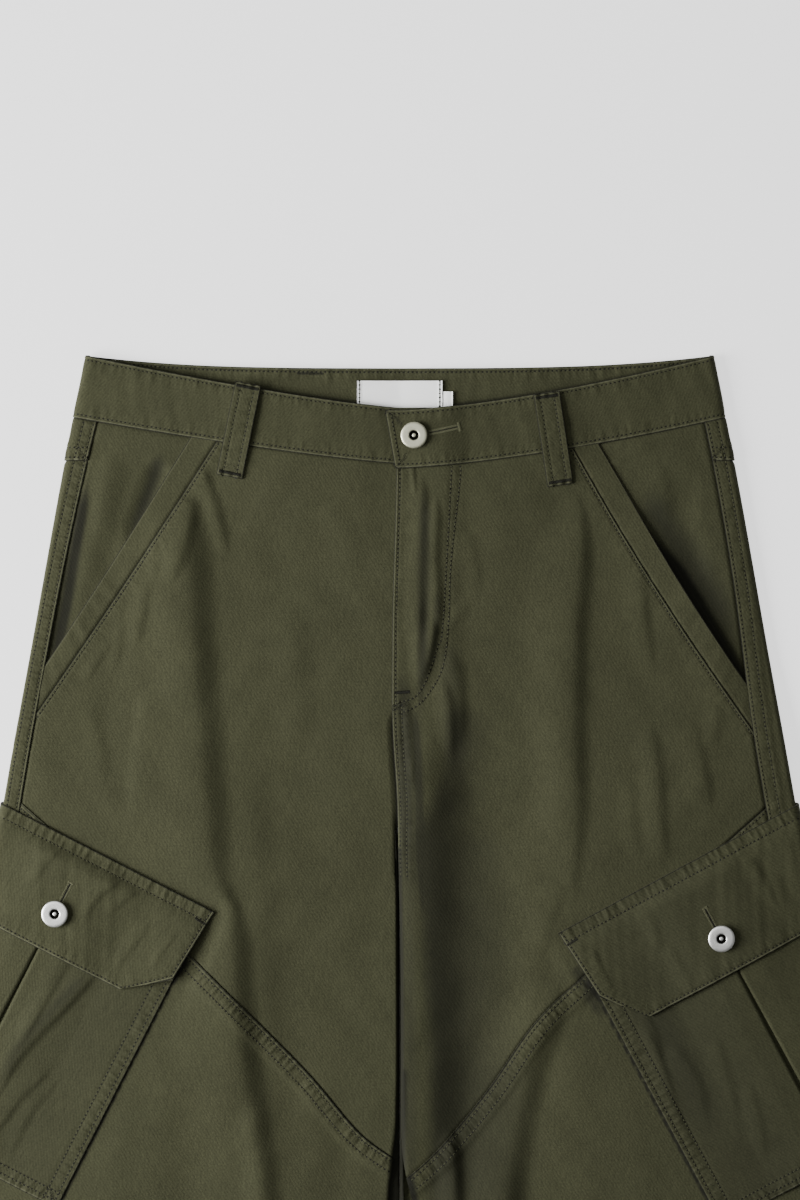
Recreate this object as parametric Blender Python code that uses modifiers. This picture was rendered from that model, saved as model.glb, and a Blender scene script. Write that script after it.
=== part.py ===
"""Wide-leg cargo trousers in cotton twill, lying flat on their back, waist towards +Y.

Every piece of cloth starts as a thin flat slab. Its points are given as millimetres on the trousers' own
skin: across (from the centre line over the front, round the side fold and back along the underside), down
(below the waist's top corners) and out (away from the wearer). skin() turns these into a place in the world.
The left side of the table names is the side at -X, which is the wearer's right leg.
"""

import math
from collections import namedtuple

import bmesh
import bpy
import numpy as np
from mathutils import Vector

MM = 0.001  # metres in a millimetre; every size below is in millimetres
LEFT, RIGHT = -1, 1
SIDE_NAMES = {LEFT: "left", RIGHT: "right"}

# Driving sizes
LENGTH = 1040.0  # waist's top corners to the hem
WAIST_HALF = 202.5  # half the flat waist
CROTCH_DOWN = 306.0
BAND_HEIGHT = 40.0  # waistband
CLOTH = 1.0  # one layer of twill
SEAM_CLEAR = 0.17  # each piece stops this short of a seam line
LAYER_GAP = 0.3  # between layers of one piece, and under a button
THICKNESS = 6.5  # the trousers lying flat, outer skin to outer skin
FOLD_RADIUS = THICKNESS / 2
INNER_CLEAR = 0.03  # front and back stop this share short of the inner fold's middle
HEM_TURN = 28.0
HEM_EXTRA, HEM_STEP = 0.9, 4.0  # what the turned-up hem adds to the wall, inside, and over what height

# Edges of one leg. outer is the silhouette and left and right are the inner edges, from the centre line.
# Down to the crotch the inner edges are where the two fronts meet, under the fly's edge.
Edge = namedtuple("Edge", "down outer left right")
LEG_EDGES = (
    Edge(0, WAIST_HALF, 2.4, -1.8),
    Edge(80, 218.3, 2.8, -2.2),
    Edge(184, 236.8, 5.4, -4.8),
    Edge(240, 246.7, 5.4, -4.6),
    Edge(287, 255.0, 2.5, -1.7),
    Edge(330, 262.6, 0.3, 0.3),
    Edge(400, 272.4, 0.3, 0.3),
    Edge(480, 281.5, 0.3, 0.6),
    Edge(545, 287.4, -1.4, 2.4),
    Edge(610, 291.2, 4.5, 7.5),
    Edge(760, 294.0, 24.0, 25.0),
    Edge(900, 291.5, 35.0, 36.0),
    Edge(LENGTH, 286.0, 43.0, 44.0),
)

# How far the side seam lies inside the silhouette, on the front.
SeamInset = namedtuple("SeamInset", "down left right")
SIDE_SEAM = (
    SeamInset(0, 18.0, 15.0),
    SeamInset(80, 14.3, 14.3),
    SeamInset(150, 11.8, 15.0),
    SeamInset(245, 11.0, 19.5),
    SeamInset(400, 13.5, 18.5),
    SeamInset(LENGTH, 16.0, 16.0),
)

# The dipped front of the waistband: its top and bottom edges at the centre, and how they rise to the corners.
FrontDip = namedtuple("FrontDip", "top bottom power")
FRONT_DIP = {LEFT: FrontDip(34.0, 30.0, 1.25), RIGHT: FrontDip(35.5, 33.0, 1.45)}
BACK_DIP, BACK_DIP_POWER = 8.4, 3.0
BAND_WALL = 2.2
BAND_PROUD = 0.5  # the band's outer face stands this far above the panels
BAND_UNDERLAP = 32.0  # the left end runs on under the right one
BAND_OVERLAP = 6.2  # the right end passes the centre line by this much, at mid height
BAND_SLANT, BAND_SLANT_REACH = 6.5, 40.0  # how much it leans from top to bottom, and over what length
BAND_LAP_END, BAND_LAP_RISE = 48.0, 20.0  # where the right end starts to climb on the left one, and how far

# The fly: the right front lies over the left one's extension.
FLY_END = 238.0  # below this the fronts meet edge to edge
FLY_UNDERLAP, FLY_NARROWING = 26.0, 30.0  # the extension's width, and the height over which it narrows away
FLY_RISE = 1.3
FLY_EDGE, FLY_EDGE_FALL = 46.0, 18.0  # across, where the raised part ends, and how softly

# Slanted hand pockets: where the opening and its band's inner line meet the waist seam and the side seam.
HandPocket = namedtuple("HandPocket", "opening_top opening_end band_top band_end")
HAND_POCKET = {LEFT: HandPocket(133.8, 202.0, 117.0, 234.5), RIGHT: HandPocket(131.9, 212.0, 113.8, 245.0)}
HAND_BAND_WALL = 1.6
BAND_CORNER = 0.68  # the hand pocket's band ends at this share of the upper front's outer edge
FACING_UNDER = 9.0  # the hip facing runs on under the band
FACING_SUNK = 2.6
FACING_SLOPE = 45.0  # it comes back up to the side seam over this distance
OPENING_GAPE = 0.7

# The seam from the side seam down to the inner leg, between the upper and lower front.
SeamPoint = namedtuple("SeamPoint", "across left right")
DIAGONAL_SEAM = (
    SeamPoint(-3, 523, 538),
    SeamPoint(24, 504, 514),
    SeamPoint(57, 466, 475),
    SeamPoint(87, 435, 431),
    SeamPoint(118, 404, 401),
    SeamPoint(180, 346, 342),
    SeamPoint(250, 284, 279),
)
SIDE_SEAM_ACROSS = 240.0  # about where the diagonal seam meets the side seam
YOKE_DOWN = 68.0  # at the sides
LAP_SHARE = 0.2  # the share of a back piece's columns that lies in front of the side fold
YOKE_POINT = 30.0  # how much deeper the yoke is at the centre back

# A cargo pocket's frame: its flap's inner top corner, and how far its top edge rises towards the side.
# side_drop is the flap's straight side, corner the width of its cut lower corner and drop its full height.
PocketFrame = namedtuple("PocketFrame", "across down tilt side_drop corner drop button_drop")
POCKET_FRAME = {
    LEFT: PocketFrame(119.3, 358.9, math.radians(27.1), 49.5, 29.4, 71.8, 47.0),
    RIGHT: PocketFrame(102.2, 372.5, math.radians(28.3), 47.4, 24.0, 75.2, 52.0),
}
FLAP_WIDTH = 181.0
FLAP_WALL = 1.6
FLAP_TAPER = 4.0  # each side comes in by this much down to the cut corner
FLAP_SEWN = 7.0  # the flap is sewn down above this line
FLAP_CLIMB = 8.0  # and climbs on the pocket over this height below it
POCKET_INSET = 3.5
POCKET_TOP, POCKET_BOTTOM = 16.0, 216.0
POCKET_LIFT = 0.4  # clearance of a piece that lies on a panel
PLEAT_HALF = 14.0  # the cloth folded back on each side of the pleat's line
PLEAT_PAST = 2.0  # the pocket's outer layer starts to come down this far beyond the folded cloth
PLEAT_RAMP = 12.0
PLEAT_OPEN, PLEAT_SHUT, PLEAT_SPREAD = 5.0, 49.5, 110.0  # the pleat opens by this much below the flap

BUTTON_RADIUS = 8.6
BUTTON_HEIGHT = 3.4
BUTTON_HOLE_RADIUS = 3.0
BUTTON_POST_RADIUS = 1.6
BUTTON_RECESS, BUTTON_POST_DROP = 2.2, 0.8  # depth of the recess's floor and of the post's head in it
BUTTON_ROUND = 0.6  # the rim's rounding
BUTTON_NECK = 2.4  # the rim's underside slopes in from this far below the top
WAIST_BUTTON = (9.3, 52.0)  # across, down

LOOP_WIDTH, LOOP_WALL = 17.0, 1.6
BeltLoop = namedtuple("BeltLoop", "name side top_across top_down end_across end_down")
FRONT_LOOPS = (
    BeltLoop("belt_loop_front_left", LEFT, 97.4, 18.6, 109.7, 78.5),
    BeltLoop("belt_loop_front_right", RIGHT, 94.6, 24.6, 103.7, 84.0),
)
LOOP_ARCH = 1.2  # a front loop's middle stands off the band by this much
LOOP_STEP, LOOP_STEP_LENGTH = 0.8, 0.15  # shares of its length: where it steps off the band, and how long
BACK_LOOP_X = 57.0
BACK_LOOP_DOWN = (10.5, 70.0)

LABEL_HALF, LABEL_TOP, LABEL_HEIGHT, LABEL_WALL, LABEL_GAP = 27.5, 16.5, 30.0, 1.0, 0.5
LABEL_CELL = 9.0
TAB_WIDTH, TAB_TOP, TAB_HEIGHT = 6.5, 23.5, 16.0

# Folds of the front: a soft trough or ridge along a line that runs down the leg between two heights.
Fold = namedtuple("Fold", "side top bottom across_top across_middle across_bottom height width")
FOLDS = (
    Fold(LEFT, 70, 420, 128, 131, 98, -3.0, 9),
    Fold(LEFT, 80, 430, 106, 104, 76, 1.8, 13),
    Fold(LEFT, 90, 340, 150, 157, 150, 1.6, 14),
    Fold(LEFT, 425, 720, 101, 88, 66, -3.0, 10),
    Fold(LEFT, 420, 740, 76, 64, 46, 2.0, 14),
    Fold(LEFT, 640, 990, 150, 168, 158, -2.6, 13),
    Fold(RIGHT, 75, 310, 121, 118, 113, -2.6, 8),
    Fold(RIGHT, 80, 330, 140, 139, 136, 1.6, 13),
    Fold(RIGHT, 250, 580, 12, 31, 38, -3.0, 14),
    Fold(RIGHT, 290, 640, 62, 64, 60, 1.8, 16),
    Fold(RIGHT, 405, 680, 114, 92, 62, -2.6, 9),
    Fold(RIGHT, 600, 960, 172, 152, 144, -2.6, 13),
    Fold(RIGHT, 660, 1000, 100, 92, 96, 1.8, 16),
)
FOLD_FADE = 0.25  # share of a fold's length over which each end fades out
FOLD_SIDE_CLEAR, FOLD_SIDE_FADE = 6.0, 30.0  # folds end this far inside the silhouette, after fading

# Where the legs part, and how the fold along each inner leg flattens out below the crotch.
PART_START, PART_END = 290.0, 330.0
FLAT_FOLD = {LEFT: 8.0, RIGHT: 5.5}
FLAT_FOLD_DOWN, FLAT_FOLD_REACH = 560.0, 60.0

# The back of the trousers is lifted off the ground by what lies under it: how high, how far beyond the
# piece it stays at that height, and over what distance it comes down again.
POCKET_REST, REST_MARGIN, REST_FALL = 4.0, 26.0, 80.0
LOOP_REST, LOOP_REST_MARGIN, LOOP_REST_FALL = 2.4, 13.0, 50.0
BAND_REST_END, BAND_REST_FALL = 60.0, 60.0

# name, sRGB colour, roughness, metallic
TWILL = ("olive cotton twill", (0.29, 0.29, 0.205), 0.9, 0.0)
LABEL_WEAVE = ("white woven label", (0.83, 0.83, 0.82), 0.8, 0.0)
BUTTON_METAL = ("nickel-plated brass", (0.86, 0.86, 0.84), 0.3, 1.0)


# Reading the tables

def curve(rows, key, value):
    """A smooth function through two columns of a table, held level beyond its ends."""
    at = np.array([getattr(row, key) for row in rows], float)
    to = np.array([getattr(row, value) for row in rows], float)
    slope = np.gradient(to, at)

    def read(x):
        x = min(max(x, at[0]), at[-1])
        i = min(int(np.searchsorted(at, x, side="right")), len(at) - 1) - 1
        span = at[i + 1] - at[i]
        t = (x - at[i]) / span
        rise = to[i + 1] - to[i]
        start, end = slope[i] * span - rise, slope[i + 1] * span - rise
        return to[i] + rise * t + t * (1 - t) * (start * (1 - t) - end * t)

    return read


outer_edge = curve(LEG_EDGES, "down", "outer")
front_inner_edge = {side: curve(LEG_EDGES, "down", name) for side, name in SIDE_NAMES.items()}
seam_inset = {side: curve(SIDE_SEAM, "down", name) for side, name in SIDE_NAMES.items()}
diagonal_down = {side: curve(DIAGONAL_SEAM, "across", name) for side, name in SIDE_NAMES.items()}


def ease(x):
    """0 below 0, 1 above 1, and a smooth step between."""
    x = min(max(x, 0.0), 1.0)
    return x * x * (3 - 2 * x)


def mix(a, b, t):
    return a + (b - a) * t


# The trousers' skin

def parted(down):
    """0 where the two fronts are sewn together, 1 where the legs are apart."""
    return ease((down - PART_START) / (PART_END - PART_START))


def inner_edge(side, down, under):
    """The back seam is on the centre line; the fronts meet under the fly's edge."""
    if under and down < CROTCH_DOWN:
        return SEAM_CLEAR
    return front_inner_edge[side](down)


def inner_radius(side, down):
    """The inner fold's width. It flattens out below the crotch."""
    flat = math.exp(-(((down - FLAT_FOLD_DOWN) / FLAT_FOLD_REACH) ** 2))
    return mix(FOLD_RADIUS, FLAT_FOLD[side], flat)


def quarter(radius, round_share):
    """The cloth's length from a fold's middle to where it lies flat: straight at 0, a quarter circle at 1."""
    return radius * (1 + round_share * (math.pi / 2 - 1))


def side_turn(down):
    """Where the cloth passes the silhouette, as a distance across."""
    return outer_edge(down) + quarter(FOLD_RADIUS, 1) - FOLD_RADIUS


def inner_turn(side, down, under=False):
    radius = inner_radius(side, down)
    return inner_edge(side, down, under) + radius - quarter(radius, parted(down))


def side_seam(side, down):
    return outer_edge(down) - seam_inset[side](down)


def frame_place(side, u, v):
    """Across and down of a point given along (u) and below (v) the top edge of a cargo pocket's flap."""
    frame = POCKET_FRAME[side]
    cos, sin = math.cos(frame.tilt), math.sin(frame.tilt)
    return frame.across + u * cos + v * sin, frame.down - u * sin + v * cos


def pocket_share(side, across, down):
    """1 where a cargo pocket lies or nearly so, and 0 well away from it."""
    frame = POCKET_FRAME[side]
    cos, sin = math.cos(frame.tilt), math.sin(frame.tilt)
    u = (across - frame.across) * cos - (down - frame.down) * sin
    v = (across - frame.across) * sin + (down - frame.down) * cos
    outside = math.hypot(max(-u, u - FLAP_WIDTH, 0), max(-v, v - POCKET_BOTTOM, 0))
    return 1 - ease((outside - REST_MARGIN) / REST_FALL)


def loop_share(across, down):
    """1 where a back belt loop lies, and 0 well away from it."""
    sideways = abs(abs(across) - BACK_LOOP_X) - LOOP_WIDTH / 2
    below = down - BACK_LOOP_DOWN[1]
    return 1 - ease((math.hypot(max(sideways, 0), max(below, 0)) - LOOP_REST_MARGIN) / LOOP_REST_FALL)


def rest_height(side, across, down):
    """How far the back of the trousers lies above the ground, on what is under it."""
    band = BAND_PROUD * (1 - ease((down - BAND_REST_END) / BAND_REST_FALL))
    loop = band + (LOOP_REST - band) * loop_share(across, down)
    return max(loop, POCKET_REST * pocket_share(side, across, down))


def relief(side, across, down):
    """The folds of the front, flat where a cargo pocket lies and at the silhouette."""
    height = 0.0
    for fold in FOLDS:
        if fold.side == side and fold.top < down < fold.bottom:
            t = (down - fold.top) / (fold.bottom - fold.top)
            ends = mix(fold.across_top, fold.across_bottom, t)
            middle = fold.across_middle - (fold.across_top + fold.across_bottom) / 2
            line = ends + middle * 4 * t * (1 - t)
            fade = ease(t / FOLD_FADE) * ease((1 - t) / FOLD_FADE)
            height += fold.height * fade * math.exp(-(((across - line) / fold.width) ** 2))
    at_edge = ease((outer_edge(down) - across - FOLD_SIDE_CLEAR) / FOLD_SIDE_FADE)
    return height * at_edge * (1 - pocket_share(side, across, down))


def skin(side, across, down, out):
    """World place of a point on the trousers, moved out from their skin."""
    under = across > side_turn(down)
    x = 2 * side_turn(down) - across if under else across
    facing = -1 if under else 1
    bottom = rest_height(side, x, down)
    half = (THICKNESS + relief(side, x, down)) / 2
    middle = bottom + half

    from_side = side_turn(down) - x
    round_side = quarter(FOLD_RADIUS, 1)
    radius = inner_radius(side, down)
    round_share = parted(down)
    round_inner = quarter(radius, round_share)
    from_inner = x - inner_turn(side, down, under)
    if from_side < round_side:
        angle = from_side / round_side * math.pi / 2
        x = outer_edge(down) - FOLD_RADIUS + (FOLD_RADIUS + out) * math.cos(angle)
        z = middle + facing * (half + out) * math.sin(angle)
    elif from_inner < round_inner:
        share = from_inner / round_inner
        angle = max(share, 0) * math.pi / 2
        turned = radius - (radius + out) * math.cos(angle)
        x = inner_edge(side, down, under) + mix(radius * share, turned, round_share)
        z = middle + facing * (half + out) * mix(1, math.sin(angle), round_share)
    else:
        z = middle + facing * (half + out)
    return Vector((side * x, LENGTH / 2 - down, z)) * MM


def round_the_side(across, down):
    """Wraps a point of a flat piece round the slanting side fold, so that the piece keeps its shape there."""
    past = across - side_turn(down)
    if past <= 0:
        return across, down
    slope = outer_edge(down + 1) - outer_edge(down)
    lean = math.atan(slope)
    lower = down + past * math.sin(2 * lean)
    return 2 * side_turn(lower) - across + 2 * past * math.cos(lean) ** 2, lower


# Making the pieces

def start_scene():
    for thing in list(bpy.data.objects):
        bpy.data.objects.remove(thing)
    trousers = bpy.data.collections.new("cargo_trousers")
    bpy.context.scene.collection.children.link(trousers)
    return trousers


def material(finish):
    name, colour, roughness, metallic = finish
    made = bpy.data.materials.get(name)
    if made is None:
        made = bpy.data.materials.new(name)
        made.use_nodes = True
        shader = made.node_tree.nodes["Principled BSDF"]
        linear = [((c + 0.055) / 1.055) ** 2.4 for c in colour]
        shader.inputs["Base Color"].default_value = (*linear, 1)
        shader.inputs["Roughness"].default_value = roughness
        shader.inputs["Metallic"].default_value = metallic
        made.diffuse_color = (*linear, 1)
    return made


def slab(columns, rows):
    """A flat slab. x and y run from 0 to 1 over it, and z is 0 on its inner face and 1 on its outer one."""
    bm = bmesh.new()
    bmesh.ops.create_grid(bm, x_segments=columns, y_segments=rows, size=0.5)
    bmesh.ops.translate(bm, verts=bm.verts[:], vec=(0.5, 0.5, 0))
    bmesh.ops.triangulate(bm, faces=bm.faces[:])
    grown = bmesh.ops.extrude_face_region(bm, geom=bm.faces[:])
    top = [part for part in grown["geom"] if isinstance(part, bmesh.types.BMVert)]
    bmesh.ops.translate(bm, verts=top, vec=(0, 0, 1))
    bmesh.ops.recalc_face_normals(bm, faces=bm.faces[:])
    return bm


def lay(bm, place):
    """Moves each point of the slab to (across, down, out)."""
    for vert in bm.verts:
        vert.co = place(*vert.co)


def crease(bm, zero, unit, shares):
    """Cuts the faces along lines at these shares of unit(down) from zero(down), so that they bend there."""
    for vert in bm.verts:
        vert.co.x = (vert.co.x - zero(vert.co.y)) / unit(vert.co.y)
    for share in shares:
        everything = bm.verts[:] + bm.edges[:] + bm.faces[:]
        bmesh.ops.bisect_plane(bm, geom=everything, dist=1e-4, plane_co=(share, 0, 0), plane_no=(1, 0, 0))
    for vert in bm.verts:
        vert.co.x = vert.co.x * unit(vert.co.y) + zero(vert.co.y)


def crease_side(bm, sign=1):
    steps = [k / 3 for k in range(-3, 4)]
    crease(bm, lambda down: sign * side_turn(down), lambda down: quarter(FOLD_RADIUS, 1), steps)


def crease_inner(bm, side, under=False):
    """Cuts for the fold along the inner leg."""
    def zero(down):
        edge = inner_turn(side, down, under)
        return 2 * side_turn(down) - edge if under else edge

    def unit(down):
        return quarter(inner_radius(side, down), parted(down)) * (-1 if under else 1)

    crease(bm, zero, unit, (1 / 3, 2 / 3, 1))


def finish_piece(bm, name, finish, place):
    """Turns a slab's (across, down, out) into the world's places and the slab into an object."""
    bmesh.ops.triangulate(bm, faces=bm.faces[:])
    for vert in bm.verts:
        vert.co = place(*vert.co)
    if bm.calc_volume(signed=True) < 0:
        bmesh.ops.reverse_faces(bm, faces=bm.faces[:])
    mesh = bpy.data.meshes.new(name)
    bm.to_mesh(mesh)
    bm.free()
    mesh.shade_smooth()
    mesh.set_sharp_from_angle(angle=math.radians(40))
    mesh.materials.append(material(finish))
    piece = bpy.data.objects.new(name, mesh)
    TROUSERS.objects.link(piece)
    return piece


def on_side(side):
    """Where one leg's points go in the world."""
    return lambda across, down, out: skin(side, across, down, out)


def waist_seam(side, across):
    """The seam between waistband and front, lowest at the centre."""
    dip = FRONT_DIP[side]
    share = (max(across, 0) / side_turn(BAND_HEIGHT)) ** dip.power
    return BAND_HEIGHT + dip.bottom * (1 - share)


def band_top(side, across):
    """The waistband's top edge, over the front and on round the side fold to the centre back."""
    turn = side_turn(0)
    if across < turn:
        dip = FRONT_DIP[side]
        return dip.top * (1 - (max(across, 0) / turn) ** dip.power)
    return BACK_DIP * (1 - (max(2 * turn - across, 0) / turn) ** BACK_DIP_POWER)


def band_bottom(side, across):
    """The waistband's bottom edge, over the front and on round the side fold to the centre back."""
    turn = side_turn(BAND_HEIGHT)
    if across < turn:
        return waist_seam(side, across)
    return BAND_HEIGHT + BACK_DIP * (1 - (max(2 * turn - across, 0) / turn) ** BACK_DIP_POWER)


def build_waistband():
    """One band from the buttonhole end round the back to the button end, which lies under it."""
    def place(a, b, c):
        side = LEFT if a < 0.5 else RIGHT
        share = abs(2 * a - 1)
        past_centre = BAND_UNDERLAP if side == LEFT else BAND_OVERLAP
        down = BAND_HEIGHT * b
        for _ in range(4):  # the band's edges depend on across, which depends on down
            to_side = side_turn(down)
            girth = 2 * share * to_side + max(2 * share - 1, 0) * past_centre
            across = 2 * side_turn(down) - girth
            across += BAND_SLANT * (b - 0.5) * ease((BAND_SLANT_REACH - across) / BAND_SLANT_REACH)
            down = mix(band_top(side, across), band_bottom(side, across), b)
        lap = 0 if side == LEFT else ease((BAND_LAP_END - across) / BAND_LAP_RISE)
        out = BAND_PROUD + (BAND_WALL + LAYER_GAP) * lap + (c - 1) * BAND_WALL
        return Vector((side * (2 * side_turn(down) - across), down, out))

    def in_world(girth, down, out):
        side = LEFT if girth < 0 else RIGHT
        return skin(side, 2 * side_turn(down) - abs(girth), down, out)

    bm = slab(48, 2)
    lay(bm, place)
    crease_side(bm, LEFT)
    crease_side(bm, RIGHT)
    return finish_piece(bm, "waistband", TWILL, in_world)


def patch(a, b, top, bottom, start, end):
    """A point inside four edges: top and bottom run with a, start and end run with b."""
    along = top(a).lerp(bottom(a), b) + start(b).lerp(end(b), a)
    corners = top(0).lerp(top(1), a).lerp(bottom(0).lerp(bottom(1), a), b)
    return along - corners


def leg_inner(side, down, under=False):
    """A leg panel's edge along the inner leg, just short of the fold's middle once the legs are apart."""
    clear = INNER_CLEAR * quarter(inner_radius(side, down), 1) * parted(down)
    return inner_turn(side, down, under) + clear


def diagonal_point(side, a):
    """A point on the seam between upper and lower front, from the inner leg (a = 0) to the side seam."""
    inner = leg_inner(side, diagonal_down[side](0))
    outer = side_seam(side, diagonal_down[side](SIDE_SEAM_ACROSS)) - SEAM_CLEAR
    across = mix(inner, outer, a)
    return Vector((across, diagonal_down[side](across)))


def build_front_upper(side):
    """The front from the waist seam down to the diagonal seam, cut away at the hand pocket."""
    hand = HAND_POCKET[side]
    clear = Vector((0, SEAM_CLEAR))
    waist_end = Vector((hand.band_top - SEAM_CLEAR, waist_seam(side, hand.band_top) + SEAM_CLEAR))
    band_end = Vector((side_seam(side, hand.band_end) - SEAM_CLEAR, hand.band_end))

    def start(b):
        down = mix(waist_seam(side, 0) + SEAM_CLEAR, diagonal_point(side, 0).y - SEAM_CLEAR, b)
        under_fly = FLY_UNDERLAP * ease((FLY_END - down) / FLY_NARROWING) if side == LEFT else 0
        return Vector((leg_inner(side, down) - under_fly, down))

    def end(b):
        if b < BAND_CORNER:
            return waist_end.lerp(band_end, b / BAND_CORNER)
        share = (b - BAND_CORNER) / (1 - BAND_CORNER)
        down = mix(hand.band_end, diagonal_point(side, 1).y - SEAM_CLEAR, share)
        return Vector((side_seam(side, down) - SEAM_CLEAR, down))

    def top(a):
        across = mix(start(0).x, waist_end.x, a)
        return Vector((across, waist_seam(side, across) + SEAM_CLEAR))

    def bottom(a):
        return diagonal_point(side, a) - clear

    def place(a, b, c):
        spot = patch(a, b, top, bottom, start, end)
        beside_fly = ease((FLY_EDGE - spot.x) / FLY_EDGE_FALL)
        above_end = ease((FLY_END + FLY_NARROWING - spot.y) / FLY_NARROWING)
        raised = FLY_RISE * beside_fly * above_end if side == RIGHT else 0
        gape = OPENING_GAPE * a ** 4 * math.sin(math.pi * min(b / BAND_CORNER, 1))
        return Vector((spot.x, spot.y, raised + gape + (c - 1) * CLOTH))

    bm = slab(18, 11)
    lay(bm, place)
    crease_inner(bm, side)
    return finish_piece(bm, f"front_upper_{SIDE_NAMES[side]}", TWILL, on_side(side))


def build_front_lower(side):
    """The front from the diagonal seam to the hem."""
    clear = Vector((0, SEAM_CLEAR))

    def top(a):
        return diagonal_point(side, a) + clear

    def bottom(a):
        return Vector((mix(leg_inner(side, LENGTH), side_seam(side, LENGTH) - SEAM_CLEAR, a), LENGTH))

    def start(b):
        down = mix(top(0).y, LENGTH, b)
        return Vector((leg_inner(side, down), down))

    def end(b):
        down = mix(top(1).y, LENGTH, b)
        return Vector((side_seam(side, down) - SEAM_CLEAR, down))

    def place(a, b, c):
        spot = patch(a, b, top, bottom, start, end)
        return Vector((spot.x, spot.y, (c - 1) * hem_wall(spot.y)))

    bm = slab(18, 9)
    lay(bm, place)
    crease_inner(bm, side)
    return finish_piece(bm, f"front_lower_{SIDE_NAMES[side]}", TWILL, on_side(side))


def hem_wall(down):
    """The wall is thicker where the hem is turned up inside."""
    return CLOTH + HEM_EXTRA * ease((down - LENGTH + HEM_TURN) / HEM_STEP)


def over_the_side(side, down, a):
    """Across, from the side seam on the front (a = 0) over the side fold to the centre back (a = 1)."""
    seam, turn = side_seam(side, down) + SEAM_CLEAR, side_turn(down)
    if a < LAP_SHARE:
        return mix(seam, turn, a / LAP_SHARE)
    return mix(turn, 2 * turn - leg_inner(side, down, True), (a - LAP_SHARE) / (1 - LAP_SHARE))


def yoke_top(side, a):
    down = BAND_HEIGHT
    for _ in range(4):  # the band's edge depends on across, which depends on down
        down = band_bottom(side, over_the_side(side, down, a)) + SEAM_CLEAR
    return down


def yoke_seam(a):
    """The seam between yoke and back leg, level on the front and lower towards the centre back."""
    return YOKE_DOWN + YOKE_POINT * max(a - LAP_SHARE, 0) / (1 - LAP_SHARE)


def build_yoke(side):
    def place(a, b, c):
        down = mix(yoke_top(side, a), yoke_seam(a) - SEAM_CLEAR, b)
        return Vector((over_the_side(side, down, a), down, (c - 1) * CLOTH))

    bm = slab(10, 1)
    lay(bm, place)
    crease_side(bm)
    return finish_piece(bm, f"yoke_{SIDE_NAMES[side]}", TWILL, on_side(side))


def build_back(side):
    """The back leg, from the yoke to the hem. It laps over the side fold to the seam on the front."""
    def place(a, b, c):
        down = mix(yoke_seam(a) + SEAM_CLEAR, LENGTH, b)
        return Vector((over_the_side(side, down, a), down, (c - 1) * hem_wall(down)))

    bm = slab(10, 17)
    lay(bm, place)
    crease_side(bm)
    crease_inner(bm, side, True)
    return finish_piece(bm, f"back_{SIDE_NAMES[side]}", TWILL, on_side(side))


def build_hand_pocket(side):
    """The band along the slanted opening, and the hip facing that shows behind it."""
    hand = HAND_POCKET[side]

    def opening(b):
        start = Vector((hand.opening_top, waist_seam(side, hand.opening_top) + SEAM_CLEAR))
        end = Vector((side_seam(side, hand.opening_end) - SEAM_CLEAR, hand.opening_end))
        return start.lerp(end, b)

    def band_line(b):
        start = Vector((hand.band_top, waist_seam(side, hand.band_top) + SEAM_CLEAR))
        end = Vector((side_seam(side, hand.band_end) - SEAM_CLEAR, hand.band_end))
        return start.lerp(end, b)

    def place_band(a, b, c):
        spot = band_line(b).lerp(opening(b), a)
        out = OPENING_GAPE * math.sin(math.pi * b) * (1 + a) + (c - 1) * HAND_BAND_WALL
        return Vector((min(spot.x, side_seam(side, spot.y) - SEAM_CLEAR), spot.y, out))

    bm = slab(2, 8)
    lay(bm, place_band)
    finish_piece(bm, f"hand_pocket_band_{SIDE_NAMES[side]}", TWILL, on_side(side))

    def place_facing(a, b, c):
        mouth = opening(b) - Vector((FACING_UNDER, 0))
        down = mix(waist_seam(side, side_seam(side, BAND_HEIGHT)) + SEAM_CLEAR, hand.opening_end, b)
        seam = Vector((side_seam(side, down) - SEAM_CLEAR, down))
        spot = mouth.lerp(seam, a)
        spot.y = max(spot.y, waist_seam(side, spot.x) + SEAM_CLEAR)
        sunk = FACING_SUNK * (1 - ease((spot.x - opening(b).x) / FACING_SLOPE))
        return Vector((spot.x, spot.y, (c - 1) * CLOTH - sunk))

    bm = slab(6, 8)
    lay(bm, place_facing)
    finish_piece(bm, f"hip_facing_{SIDE_NAMES[side]}", TWILL, on_side(side))


def pleat_profile():
    """The middle line of a pocket's wall as (u, height): a box pleat whose edges meet below the button."""
    middle = FLAP_WIDTH / 2
    low, mid, high = (POCKET_LIFT + CLOTH / 2 + (CLOTH + LAYER_GAP) * k for k in range(3))
    raised = middle - PLEAT_HALF - PLEAT_PAST
    ramp = raised - PLEAT_RAMP
    return [
        (POCKET_INSET, low), ((POCKET_INSET + ramp) / 2, low), (ramp, low),
        (raised, high), (middle, high), (middle, mid), (middle - PLEAT_HALF, mid),
        (middle - PLEAT_HALF, low), (middle, low),
    ]


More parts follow.
